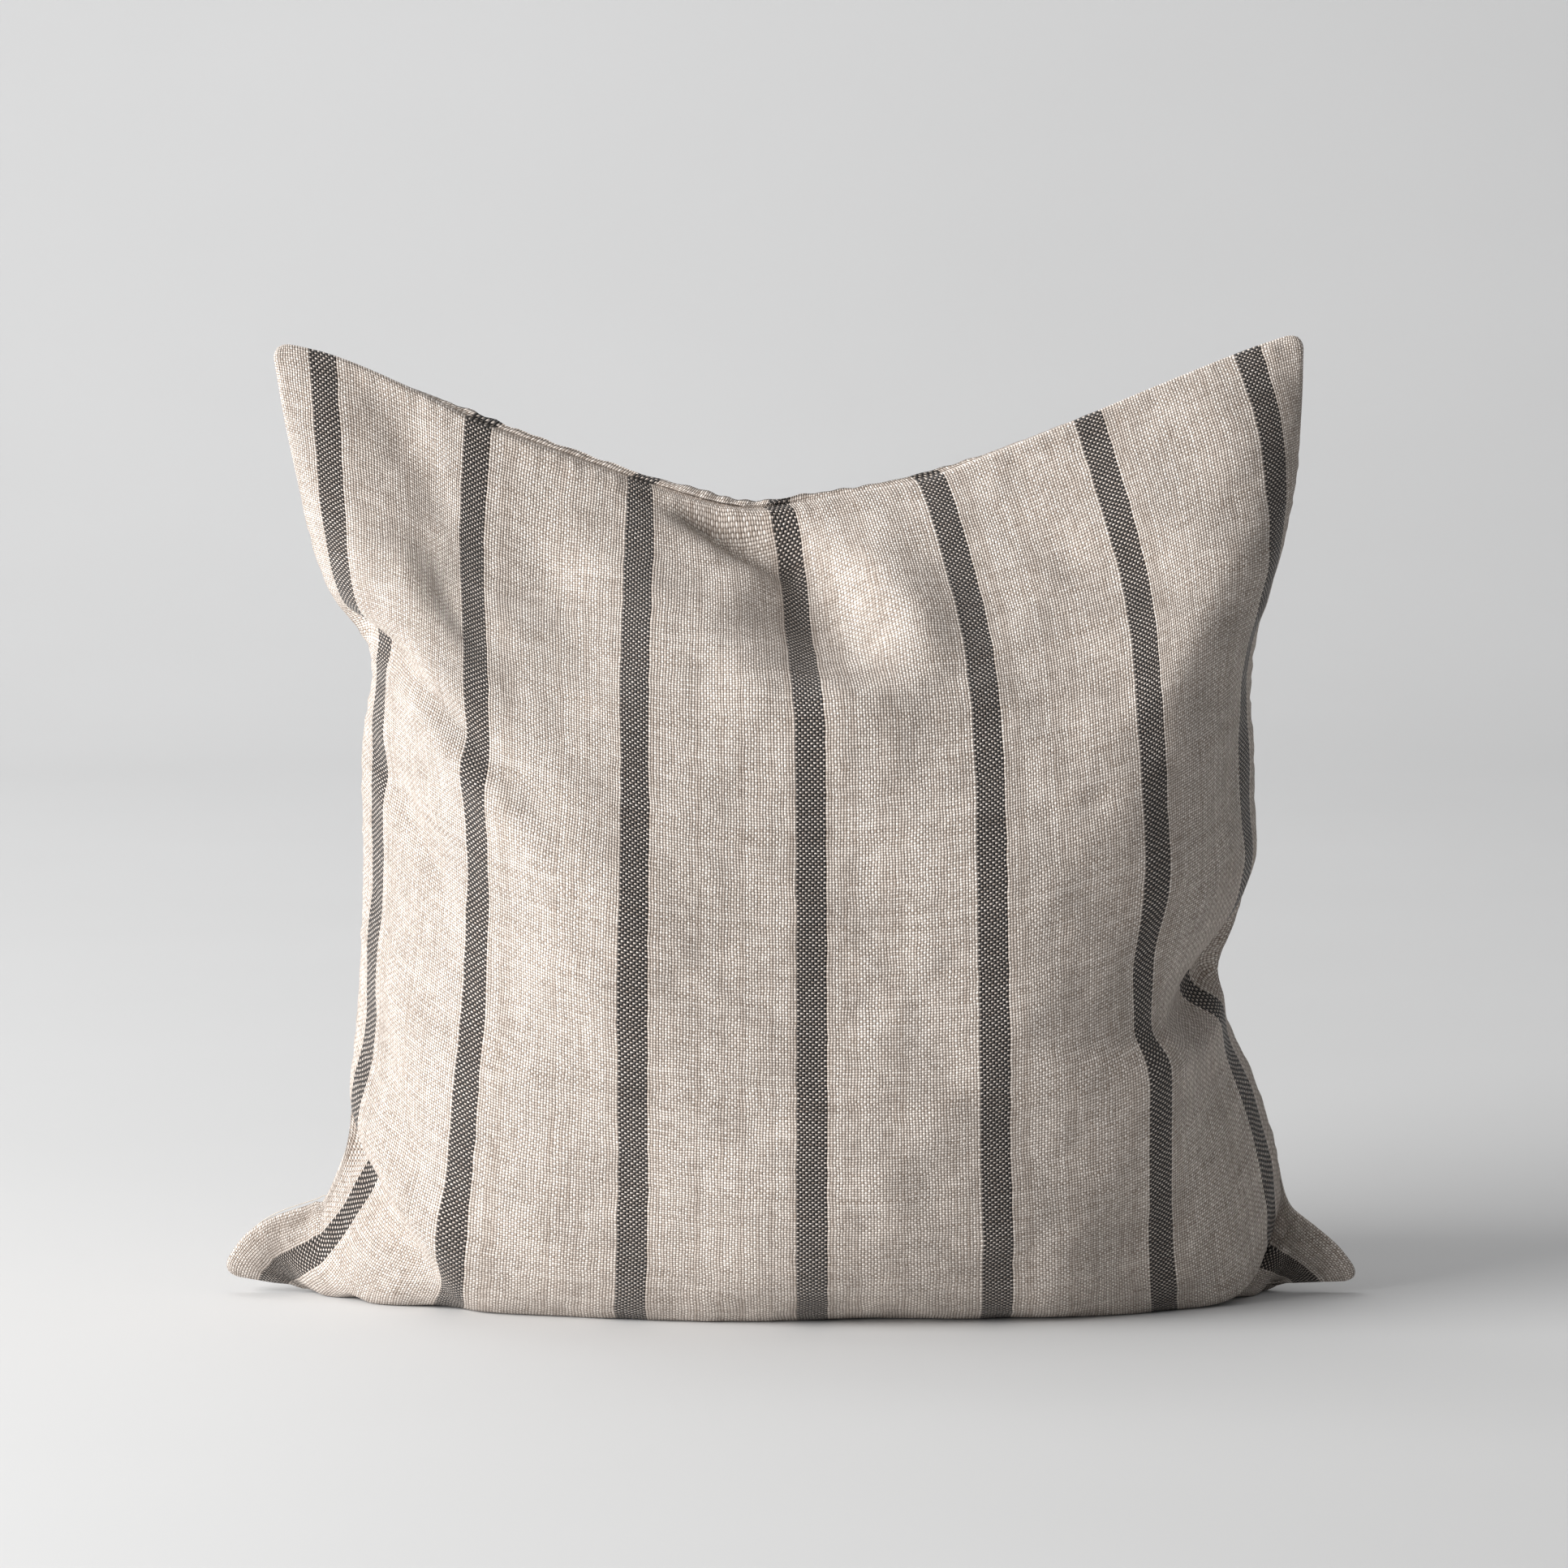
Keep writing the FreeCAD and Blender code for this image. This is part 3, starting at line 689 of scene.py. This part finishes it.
def insert_surface(surface, outward, n, inward):
    """A smaller panel inside the cover, with rounded corners, closed to a seam of its own."""
    share = np.linspace(-1, 1, n + 1)
    v, u = np.meshgrid(share, share, indexing="ij")
    round_u = u * np.sqrt(1 - INSERT_ROUNDING * v * v)
    round_v = v * np.sqrt(1 - INSERT_ROUNDING * u * u)
    cells = surface.shape[0] - 1
    inner = surface - surface_normals(surface, outward) * inward
    points = between(inner, (0.5 + INSERT_SHARE * round_v) * cells, (0.5 + INSERT_SHARE * round_u) * cells)
    rim = np.minimum(1 - np.abs(u), 1 - np.abs(v))
    close = np.sqrt(np.clip(1 - (1 - np.minimum(rim / INSERT_CLOSING, 1)) ** 2, 0, 1))
    away = outward * points[..., 1]
    points[..., 1] = outward * np.maximum(away * close, INSERT_LEAST * (rim > 0))
    over_zip = np.maximum(ZIP_CLEARANCE - ZIP_CLEARANCE_SLOPE * np.abs(points[..., 1]), INSERT_FLOOR)
    points[..., 2] = np.maximum(points[..., 2], over_zip)
    return points


def insert_piece(name, points, outward, material):
    n = points.shape[0]
    share = np.linspace(0, INSERT_SIDE, n)
    v, u = np.meshgrid(share, share, indexing="ij")
    piece = mesh_object(name, points, grid_faces(n, n, outward > 0), np.stack((u, v), -1))
    piece.data.materials.append(material)
    return piece


def closed_pair(name, front, back, material):
    """Both halves as one closed form, joined along their rims."""
    n = front.shape[0]
    points = np.concatenate((front.reshape(-1, 3), back.reshape(-1, 3)))
    faces = np.concatenate((grid_faces(n, n, False), grid_faces(n, n, True) + n * n))
    piece = mesh_object(name, points, faces)
    weld_modifier = piece.modifiers.new("join", "WELD")
    weld_modifier.merge_threshold = FIBRE_WELD
    piece.data.materials.append(material)
    return piece


CUSHION_MIDDLE = (0.0, 0.0, 0.2)
SEAM_INSET = 0.004
INSERT_SEAM_INSET = 0.003
THREAD_RADIUS = 0.0002
CORD_SIDES = 6


def rim_loop(front, inset):
    """The panel's rim as a closed loop of points, moved inward by inset in the seam plane."""
    bottom, right = front[0, :-1], front[:-1, -1]
    top, left = front[-1, :0:-1], front[:0:-1, 0]
    loop = np.concatenate((bottom, right, top, left))
    inward = np.array(CUSHION_MIDDLE) - loop
    inward[:, 1] = 0
    inward /= np.linalg.norm(inward, axis=1, keepdims=True)
    return loop + inward * inset


def tube(name, path, radius, sides, closed, material):
    """A round cord along a path, with its rings square to the path."""
    path = np.asarray(path, float)
    if closed:
        ahead, behind = np.roll(path, -1, 0), np.roll(path, 1, 0)
    else:
        ahead = np.concatenate((path[1:], path[-1:]))
        behind = np.concatenate((path[:1], path[:-1]))
    tangent = ahead - behind
    tangent /= np.maximum(np.linalg.norm(tangent, axis=1, keepdims=True), 1e-12)
    level = np.where(np.abs(tangent[:, 1:2]) > 0.9, np.array([[1.0, 0, 0]]), np.array([[0, 1.0, 0]]))
    first = np.cross(tangent, level)
    first /= np.linalg.norm(first, axis=1, keepdims=True)
    second = np.cross(tangent, first)
    turn = np.linspace(0, 2 * np.pi, sides, endpoint=False)
    ring = first[:, None] * np.cos(turn)[None, :, None] + second[:, None] * np.sin(turn)[None, :, None]
    points = path[:, None] + radius * ring
    count = len(path)
    faces = []
    for i in range(count if closed else count - 1):
        j = (i + 1) % count
        for k in range(sides):
            m = (k + 1) % sides
            faces.append((i * sides + k, j * sides + k, j * sides + m, i * sides + m))
    if not closed:
        faces.append(tuple(range(sides)))
        faces.append(tuple((count - 1) * sides + k for k in reversed(range(sides))))
    piece = mesh_object(name, points, faces)
    piece.data.materials.append(material)
    return piece


# ---------------------------------------------------------------- materials

class Nodes:
    """A short way to write a node material: node(type, inputs) returns the node's first output."""

    def __init__(self, name):
        self.material = bpy.data.materials.new(name)
        self.material.use_nodes = True
        self.tree = self.material.node_tree
        self.tree.nodes.clear()
        self.output = self.tree.nodes.new("ShaderNodeOutputMaterial")
        self.shader = self.tree.nodes.new("ShaderNodeBsdfPrincipled")
        self.tree.links.new(self.shader.outputs[0], self.output.inputs[0])

    def node(self, kind, inputs=(), output=0, **settings):
        node = self.tree.nodes.new("ShaderNode" + kind)
        for key, value in settings.items():
            setattr(node, key, value)
        for socket, value in dict(inputs).items():
            self.put(node.inputs[socket], value)
        return node.outputs[output]

    def put(self, socket, value):
        if isinstance(value, bpy.types.NodeSocket):
            self.tree.links.new(value, socket)
        else:
            socket.default_value = value

    def math(self, operation, a, b=0.0, c=0.0):
        return self.node("Math", {0: a, 1: b, 2: c}, operation=operation)

    def mix(self, share, a, b):
        node = self.tree.nodes.new("ShaderNodeMix")
        node.data_type = "RGBA"
        self.put(node.inputs[0], share)
        self.put(node.inputs[6], a)
        self.put(node.inputs[7], b)
        return node.outputs[2]

    def noise(self, vector, scale, detail=2.0, roughness=0.5):
        settings = {"Vector": vector, "Scale": scale, "Detail": detail, "Roughness": roughness}
        return self.node("TexNoise", settings)

    def ramp(self, value, low, high, out_low=0.0, out_high=1.0):
        return self.node("MapRange", {0: value, 1: low, 2: high, 3: out_low, 4: out_high}, clamp=True)

    def surface(self, **sockets):
        for name, value in sockets.items():
            self.put(self.shader.inputs[name.replace("_", " ").title().replace("Ior", "IOR")], value)

    def bump(self, height, distance, strength=1.0):
        normal = self.node("Bump", {"Height": height, "Distance": distance, "Strength": strength})
        self.put(self.shader.inputs["Normal"], normal)


def rgb(red, green, blue):
    return (red, green, blue, 1.0)


WARP_PITCH = 0.00125
WEFT_PITCH = 0.00118
YARN_SWAY = 0.0016
STRIPE_FIRST = 0.024
STRIPE_SPACING = 0.075
STRIPE_HALF = 0.0062
CREAM = rgb(1.0, 0.92, 0.85)
TAUPE = rgb(0.42, 0.345, 0.29)
DARK = rgb(0.014, 0.011, 0.010)
DARK_LIGHT = rgb(0.036, 0.027, 0.023)
GAP = rgb(0.16, 0.115, 0.085)


def stripe_mask(m, across):
    """1 on the dark warp yarns."""
    step = m.math("DIVIDE", m.math("SUBTRACT", across, STRIPE_FIRST), STRIPE_SPACING)
    near = m.math("ABSOLUTE", m.math("SUBTRACT", step, m.math("ROUND", step)))
    return m.math("LESS_THAN", near, STRIPE_HALF / STRIPE_SPACING)


def linen(name, from_cloth):
    """Coarse plain weave: cream warp over a weft mixed further towards taupe as painted shade from the higher
    warp, with narrow near-black warp stripes.
    """
    m = Nodes(name)
    if from_cloth:
        uv = m.node("UVMap", uv_map="cloth")
    else:
        uv = m.node("Mapping", {0: m.node("TexCoord", output=3), 2: (-math.pi / 2, 0.0, 0.0)})
    split = m.tree.nodes.new("ShaderNodeSeparateXYZ")
    m.put(split.inputs[0], uv)
    across, up = split.outputs[0], split.outputs[1]
    sway_u = m.math("MULTIPLY", m.math("SUBTRACT", m.noise(uv, 70.0), 0.5), YARN_SWAY)
    shifted = m.node("VectorMath", {0: uv, 1: (3.1, 7.7, 0.0)}, operation="ADD")
    sway_v = m.math("MULTIPLY", m.math("SUBTRACT", m.noise(shifted, 90.0), 0.5), YARN_SWAY)
    warp = m.math("DIVIDE", m.math("ADD", across, sway_u), WARP_PITCH)
    weft = m.math("DIVIDE", m.math("ADD", up, sway_v), WEFT_PITCH)
    warp_index, weft_index = m.math("FLOOR", warp), m.math("FLOOR", weft)
    in_warp = m.math("SUBTRACT", m.math("SUBTRACT", warp, warp_index), 0.5)
    in_weft = m.math("SUBTRACT", m.math("SUBTRACT", weft, weft_index), 0.5)
    odd = m.math("FLOORED_MODULO", m.math("ADD", warp_index, weft_index), 2.0)
    parity = m.math("SUBTRACT", m.math("MULTIPLY", odd, 2.0), 1.0)
    yarns = m.node("CombineXYZ", {0: warp_index, 1: weft_index, 2: 0.0})
    warp_seed = m.node("CombineXYZ", {0: warp_index, 1: 0.0, 2: 0.0})
    weft_seed = m.node("CombineXYZ", {0: 0.0, 1: weft_index, 2: 5.0})
    warp_random = m.node("TexWhiteNoise", {"Vector": warp_seed}, noise_dimensions="3D")
    weft_random = m.node("TexWhiteNoise", {"Vector": weft_seed}, noise_dimensions="3D")
    cross_random = m.node("TexWhiteNoise", {"Vector": yarns}, noise_dimensions="3D")

    def crown(place):
        share = m.math("MULTIPLY", m.math("ABSOLUTE", place), 2.0)
        return m.math("SUBTRACT", 1.0, m.math("POWER", share, 2.0))

    def wave(place):
        return m.math("COSINE", m.math("MULTIPLY", place, math.pi))

    # the stripe belongs to whole warp yarns, so its edge follows the weave; there the warp is packed closer
    warp_centre = m.math("MULTIPLY", m.math("ADD", warp_index, 0.5), WARP_PITCH)
    dark_yarn = stripe_mask(m, warp_centre)
    warp_height = m.math("ADD", m.math("MULTIPLY", m.math("MULTIPLY", parity, wave(in_weft)), 0.5),
                         m.math("MULTIPLY", crown(in_warp), 0.62))
    warp_height = m.math("ADD", warp_height, m.math("MULTIPLY", dark_yarn, 0.62))
    weft_height = m.math("ADD", m.math("MULTIPLY", m.math("MULTIPLY", parity, wave(in_warp)), -0.5),
                         m.math("MULTIPLY", crown(in_weft), 0.55))
    warp_on_top = m.math("GREATER_THAN", warp_height, weft_height)
    height = m.math("MAXIMUM", warp_height, weft_height)
    thick = m.math("MULTIPLY", m.math("SUBTRACT", m.noise(uv, 240.0), 0.5), 0.5)
    height = m.math("ADD", height, thick)

    stretched_warp = m.node("Mapping", {0: uv, 3: (800.0, 60.0, 1.0)})
    stretched_weft = m.node("Mapping", {0: uv, 3: (50.0, 850.0, 1.0)})
    slub_warp = m.noise(stretched_warp, 1.0, 2.0)
    slub_weft = m.noise(stretched_weft, 1.0, 2.0)
    mottle = m.noise(uv, 42.0, 5.0, 0.65)
    cloudy = m.noise(uv, 9.0, 3.0, 0.55)

    warp_tone = m.math("ADD", m.math("MULTIPLY", warp_random, 0.45), m.math("MULTIPLY", slub_warp, 0.9))
    warp_tone = m.math("ADD", warp_tone, m.math("MULTIPLY", cross_random, 0.25))
    warp_light = m.mix(m.ramp(warp_tone, 0.25, 1.05), TAUPE, CREAM)
    warp_dark = m.mix(m.ramp(warp_tone, 0.5, 1.3), DARK, DARK_LIGHT)
    warp_colour = m.mix(dark_yarn, warp_light, warp_dark)
    # the weft is mixed further towards taupe than the warp: this is painted shade from the higher warp yarns,
    # laid over the random flax tone that both share
    weft_tone = m.math("ADD", m.math("MULTIPLY", weft_random, 0.35), m.math("MULTIPLY", slub_weft, 0.9))
    weft_tone = m.math("ADD", weft_tone, m.math("MULTIPLY", cross_random, 0.3))
    shaded_weft_colour = m.mix(m.ramp(weft_tone, 0.45, 1.5), TAUPE, CREAM)
    colour = m.mix(warp_on_top, shaded_weft_colour, warp_colour)

    # soft grey-brown clouding of the undyed flax
    cloud = m.math("ADD", m.math("MULTIPLY", mottle, 0.8), m.math("MULTIPLY", cloudy, 0.2))
    shade = m.ramp(cloud, 0.34, 0.62, 0.86, 1.10)
    colour = m.node("VectorMath", {0: colour, "Scale": shade}, operation="SCALE")

    # less light reaches the gaps between yarns
    depth = m.ramp(height, 0.12, 0.98)
    gap_colour = m.mix(dark_yarn, GAP, DARK)
    colour = m.mix(depth, gap_colour, colour)
    m.surface(base_color=colour, roughness=m.ramp(dark_yarn, 0.0, 1.0, 0.92, 0.52), sheen_weight=0.1,
              sheen_roughness=0.5)
    m.shader.inputs["Specular IOR Level"].default_value = 0.4
    m.bump(height, 0.0006, 1.0)
    return m.material


def woven(name, light, dark, pitch):
    """A fine plain weave for tapes, ticking and labels."""
    m = Nodes(name)
    coordinates = m.node("TexCoord", output=3)
    split = m.tree.nodes.new("ShaderNodeSeparateXYZ")
    m.put(split.inputs[0], coordinates)
    wave_x = m.math("SINE", m.math("MULTIPLY", split.outputs[0], math.pi / pitch))
    wave_z = m.math("SINE", m.math("MULTIPLY", split.outputs[2], math.pi / pitch))
    weave = m.math("MULTIPLY", wave_x, wave_z)
    fibre = m.noise(coordinates, 900.0, 3.0)
    tone = m.math("ADD", m.math("MULTIPLY", weave, 0.3), fibre)
    colour = m.mix(m.ramp(tone, 0.2, 0.9), dark, light)
    m.surface(base_color=colour, roughness=m.ramp(fibre, 0.2, 0.8, 0.75, 0.95))
    m.bump(tone, 0.00008)
    return m.material


def spun_thread():
    m = Nodes("thread")
    coordinates = m.node("TexCoord", output=3)
    twist = m.node("TexWave", {"Vector": coordinates, "Scale": 900.0, "Distortion": 1.5},
                   bands_direction="DIAGONAL")
    fibre = m.noise(coordinates, 2500.0)
    colour = m.mix(m.math("MULTIPLY", twist, fibre), rgb(0.62, 0.55, 0.46), rgb(0.88, 0.83, 0.75))
    m.surface(base_color=colour, roughness=m.ramp(fibre, 0.2, 0.8, 0.6, 0.85))
    m.bump(twist, 0.0001)
    return m.material


def moulded(name, light, dark, roughness, metallic, grain):
    """Plastic, enamel or metal with fine handling marks."""
    m = Nodes(name)
    coordinates = m.node("TexCoord", output=3)
    marks = m.noise(coordinates, grain, 4.0, 0.6)
    fine = m.noise(coordinates, grain * 6, 2.0)
    colour = m.mix(m.ramp(marks, 0.3, 0.7), dark, light)
    m.surface(base_color=colour, roughness=m.ramp(fine, 0.3, 0.7, roughness - 0.08, roughness + 0.1),
              metallic=metallic)
    m.bump(fine, 0.00003)
    return m.material


def fibre_fill():
    m = Nodes("filling")
    coordinates = m.node("TexCoord", output=3)
    clumps = m.noise(coordinates, 60.0, 6.0, 0.7)
    strands = m.node("TexWave", {"Vector": coordinates, "Scale": 120.0, "Distortion": 30.0, "Detail": 4.0})
    tone = m.math("ADD", m.math("MULTIPLY", clumps, 0.7), m.math("MULTIPLY", strands, 0.3))
    colour = m.mix(m.ramp(tone, 0.3, 0.8), rgb(0.78, 0.78, 0.77), rgb(0.94, 0.94, 0.93))
    m.surface(base_color=colour, roughness=m.ramp(clumps, 0.2, 0.8, 0.85, 1.0))
    m.bump(tone, 0.002)
    return m.material


MATERIALS = {
    "linen": linen("linen", True),
    "linen_inside": linen("linen_inside", False),
    "thread": spun_thread(),
    "tape": woven("tape", rgb(0.80, 0.75, 0.68), rgb(0.58, 0.52, 0.45), 0.0006),
    "coil": moulded("coil", rgb(0.82, 0.79, 0.72), rgb(0.72, 0.68, 0.60), 0.42, 0.0, 300.0),
    "stop_metal": moulded("stop_metal", rgb(0.72, 0.72, 0.71), rgb(0.58, 0.58, 0.57), 0.35, 1.0, 500.0),
    "slider_metal": moulded("slider_metal", rgb(0.80, 0.77, 0.70), rgb(0.70, 0.66, 0.58), 0.38, 0.0, 400.0),
    "label": woven("label", rgb(0.93, 0.92, 0.90), rgb(0.80, 0.79, 0.76), 0.0003),
    "ticking": woven("ticking", rgb(0.92, 0.91, 0.88), rgb(0.78, 0.77, 0.73), 0.00045),
    "filling": fibre_fill(),
}


# ---------------------------------------------------------------- the cushion

COIL_PITCH = 0.0013
COIL_STEPS = 14
COIL_WIRE = 0.00026
COIL_INSET = 0.00028

LABEL_ROWS = 12
LABEL_COLUMNS = 9
LABEL_TUCK = 0.002
LABEL_ROUNDNESS = 0.7
LABEL_HALF_THICKNESS = 0.0004


def coil_path(lo, hi, pitch):
    """One nylon coil: a flattened spring along the tape edge."""
    turns = int((hi.x - lo.x) / pitch)
    angle = np.linspace(0, 2 * np.pi * turns, turns * COIL_STEPS + 1)
    x = np.linspace(lo.x, hi.x, len(angle))
    middle_y, middle_z = (lo.y + hi.y) / 2, (lo.z + hi.z) / 2
    half_y, half_z = (hi.y - lo.y) / 2 - COIL_INSET, (hi.z - lo.z) / 2 - COIL_INSET
    return np.column_stack((x, middle_y + half_y * np.cos(angle), middle_z + half_z * np.sin(angle)))


def place(piece, node, slot):
    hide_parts(node)
    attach(piece, "pillow")
    return piece


def sew(name, panel, inset, node):
    """A closed stitch line round a panel. It doesn't stop at the zip, which is a known fault."""
    thread = tube(name, rim_loop(panel, inset), THREAD_RADIUS, CORD_SIDES, True, MATERIALS["thread"])
    place(thread, node, "thread")


def build_cover(cloth):
    for panel, side, word in ((0, -1, "front"), (1, 1, "back")):
        name = "cover_%s" % word
        piece = cover_panel(name, cloth[panel], side, COVER_SEED + panel, MATERIALS["linen"])
        place(piece, "cover_%s_panel" % word, "linen")
    sew("seam_stitching", cloth[0], SEAM_INSET, "seam_thread")


def folded(surface, outward, seed):
    """The solver's panel with its folds pressed in."""
    lines = np.linspace(0, SIDE, surface.shape[0])
    v, u = np.meshgrid(lines, lines, indexing="ij")
    folds = FRONT_FOLDS if outward < 0 else BACK_FOLDS
    depth = fold_depth(u, v, folds, seed) * smooth_step(rim_distance(u, v), *FOLD_FADE)
    return surface - surface_normals(surface, outward) * np.maximum(depth, 0)[..., None]


def build_insert(cloth):
    shells = [folded(cloth[panel], side, COVER_SEED + panel) for panel, side in ((0, -1), (1, 1))]
    halves = {word: insert_surface(shells[panel], side, INSERT_CELLS, TICKING_INSET)
              for panel, side, word in ((0, -1, "front"), (1, 1, "back"))}
    for word, side in (("front", -1), ("back", 1)):
        piece = insert_piece("insert_%s" % word, halves[word], side, MATERIALS["ticking"])
        place(piece, "insert_ticking_%s" % word, "ticking")
    sew("insert_stitching", halves["front"], INSERT_SEAM_INSET, "insert_seam_thread")
    cores = [insert_surface(shells[panel], side, INSERT_CELLS, FIBRE_INSET) for panel, side in ((0, -1), (1, 1))]
    core = closed_pair("insert_fibre", cores[0], cores[1], MATERIALS["filling"])
    place(core, "insert_filling", "filling")


def build_label(cloth):
    """A folded loop of ribbon caught in the side seam, lying inside the cover."""
    lo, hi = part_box("care_label")
    seam = cloth[0][:, -1]
    z = np.linspace(lo.z, hi.z, LABEL_ROWS)
    edge = np.interp(z, seam[:, 2], seam[:, 0]) - LABEL_TUCK
    share = np.linspace(0, 1, LABEL_COLUMNS)
    loop_x = -(hi.x - lo.x) * np.sin(share * np.pi) ** LABEL_ROUNDNESS
    loop_y = LABEL_HALF_THICKNESS * np.cos(share * np.pi)
    points = np.zeros((LABEL_ROWS, LABEL_COLUMNS, 3))
    points[..., 0] = edge[:, None] + loop_x[None]
    points[..., 1] = loop_y[None]
    points[..., 2] = z[:, None]
    piece = mesh_object("side_label", points, grid_faces(LABEL_ROWS, LABEL_COLUMNS, False))
    piece.data.materials.append(MATERIALS["label"])
    place(piece, "care_label", "label")


def build_zip():
    for word in ("front", "back"):
        lo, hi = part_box("zip_coil_" + word)
        piece = tube("coil_" + word, coil_path(lo, hi, COIL_PITCH), COIL_WIRE, CORD_SIDES, False,
                     MATERIALS["coil"])
        place(piece, "zip_coil_" + word, "coil")


def paint_cad():
    slots = {row["node"]: row["material_slot"] for row in frame["record"]["subparts"]}
    for name, node in frame["nodes"].items():
        slot = slots[name]
        node.data.materials.clear()
        node.data.materials.append(MATERIALS["linen_inside" if slot == "linen" else slot])


# ---------------------------------------------------------------- stage, light and camera

SWEEP_REACH = 5.0
SWEEP_FLAT = 2.4
SWEEP_RADIUS = 2.2


def stage_sweep():
    """A seamless pale grey sheet: floor, curve and wall."""
    profile = [(-SWEEP_REACH, 0.0), (SWEEP_FLAT, 0.0)]
    for step in range(1, 25):
        angle = math.pi / 2 * step / 24
        profile.append((SWEEP_FLAT + SWEEP_RADIUS * math.sin(angle), SWEEP_RADIUS * (1 - math.cos(angle))))
    profile.append((SWEEP_FLAT + SWEEP_RADIUS, SWEEP_REACH))
    points = [(x, y, z) for y, z in profile for x in (-SWEEP_REACH, SWEEP_REACH)]
    faces = [(2 * i, 2 * i + 1, 2 * i + 3, 2 * i + 2) for i in range(len(profile) - 1)]
    sweep = mesh_object("studio_sweep", points, faces)
    m = Nodes("studio_paper")
    coordinates = m.node("TexCoord", output=3)
    grain = m.noise(coordinates, 3.0, 2.0)
    colour = m.mix(grain, rgb(0.67, 0.67, 0.67), rgb(0.70, 0.70, 0.702))
    m.surface(base_color=colour, roughness=0.9)
    m.shader.inputs["Specular IOR Level"].default_value = 0.1
    sweep.data.materials.append(m.material)


def area_light(name, place_at, aim, size, power, colour):
    data = bpy.data.lights.new(name, "AREA")
    data.shape = "RECTANGLE"
    data.size, data.size_y = size
    data.energy = power
    data.color = colour
    light = bpy.data.objects.new(name, data)
    bpy.context.scene.collection.objects.link(light)
    light.location = place_at
    light.rotation_euler = (Vector(aim) - Vector(place_at)).to_track_quat("-Z", "Y").to_euler()


def lights():
    area_light("key", (-2.3, -1.15, 0.95), (0, 0, 0.2), (2.2, 1.9), 138.0, (1.0, 0.995, 0.985))
    area_light("overhead", (-0.6, 2.2, 3.8), (-0.6, 2.8, 0), (4.0, 4.0), 42.0, (1.0, 1.0, 1.0))
    area_light("wall", (-1.3, 1.9, 2.5), (-0.7, 3.4, 0.2), (2.2, 2.0), 26.0, (1.0, 1.0, 1.0))
    world = bpy.data.worlds.new("studio")
    bpy.context.scene.world = world
    world.use_nodes = True
    world.node_tree.nodes["Background"].inputs[0].default_value = (0.80, 0.81, 0.82, 1.0)
    world.node_tree.nodes["Background"].inputs[1].default_value = 0.30
    bpy.context.scene.view_settings.view_transform = "Standard"


def camera():
    data = bpy.data.cameras.new("camera")
    data.sensor_width = 36.0
    data.lens = 191.2
    eye, target = Vector((-0.004, -3.6, 0.57)), Vector((-0.004, 0.0, 0.223))
    data.clip_end = 50.0
    cam = bpy.data.objects.new("camera", data)
    bpy.context.scene.collection.objects.link(cam)
    cam.location = eye
    cam.rotation_euler = (target - eye).to_track_quat("-Z", "Y").to_euler()
    bpy.context.scene.camera = cam


paint_cad()
CLOTH = filled_cover()
build_cover(CLOTH)
build_insert(CLOTH)
build_label(CLOTH)
build_zip()
stage_sweep()
lights()
camera()
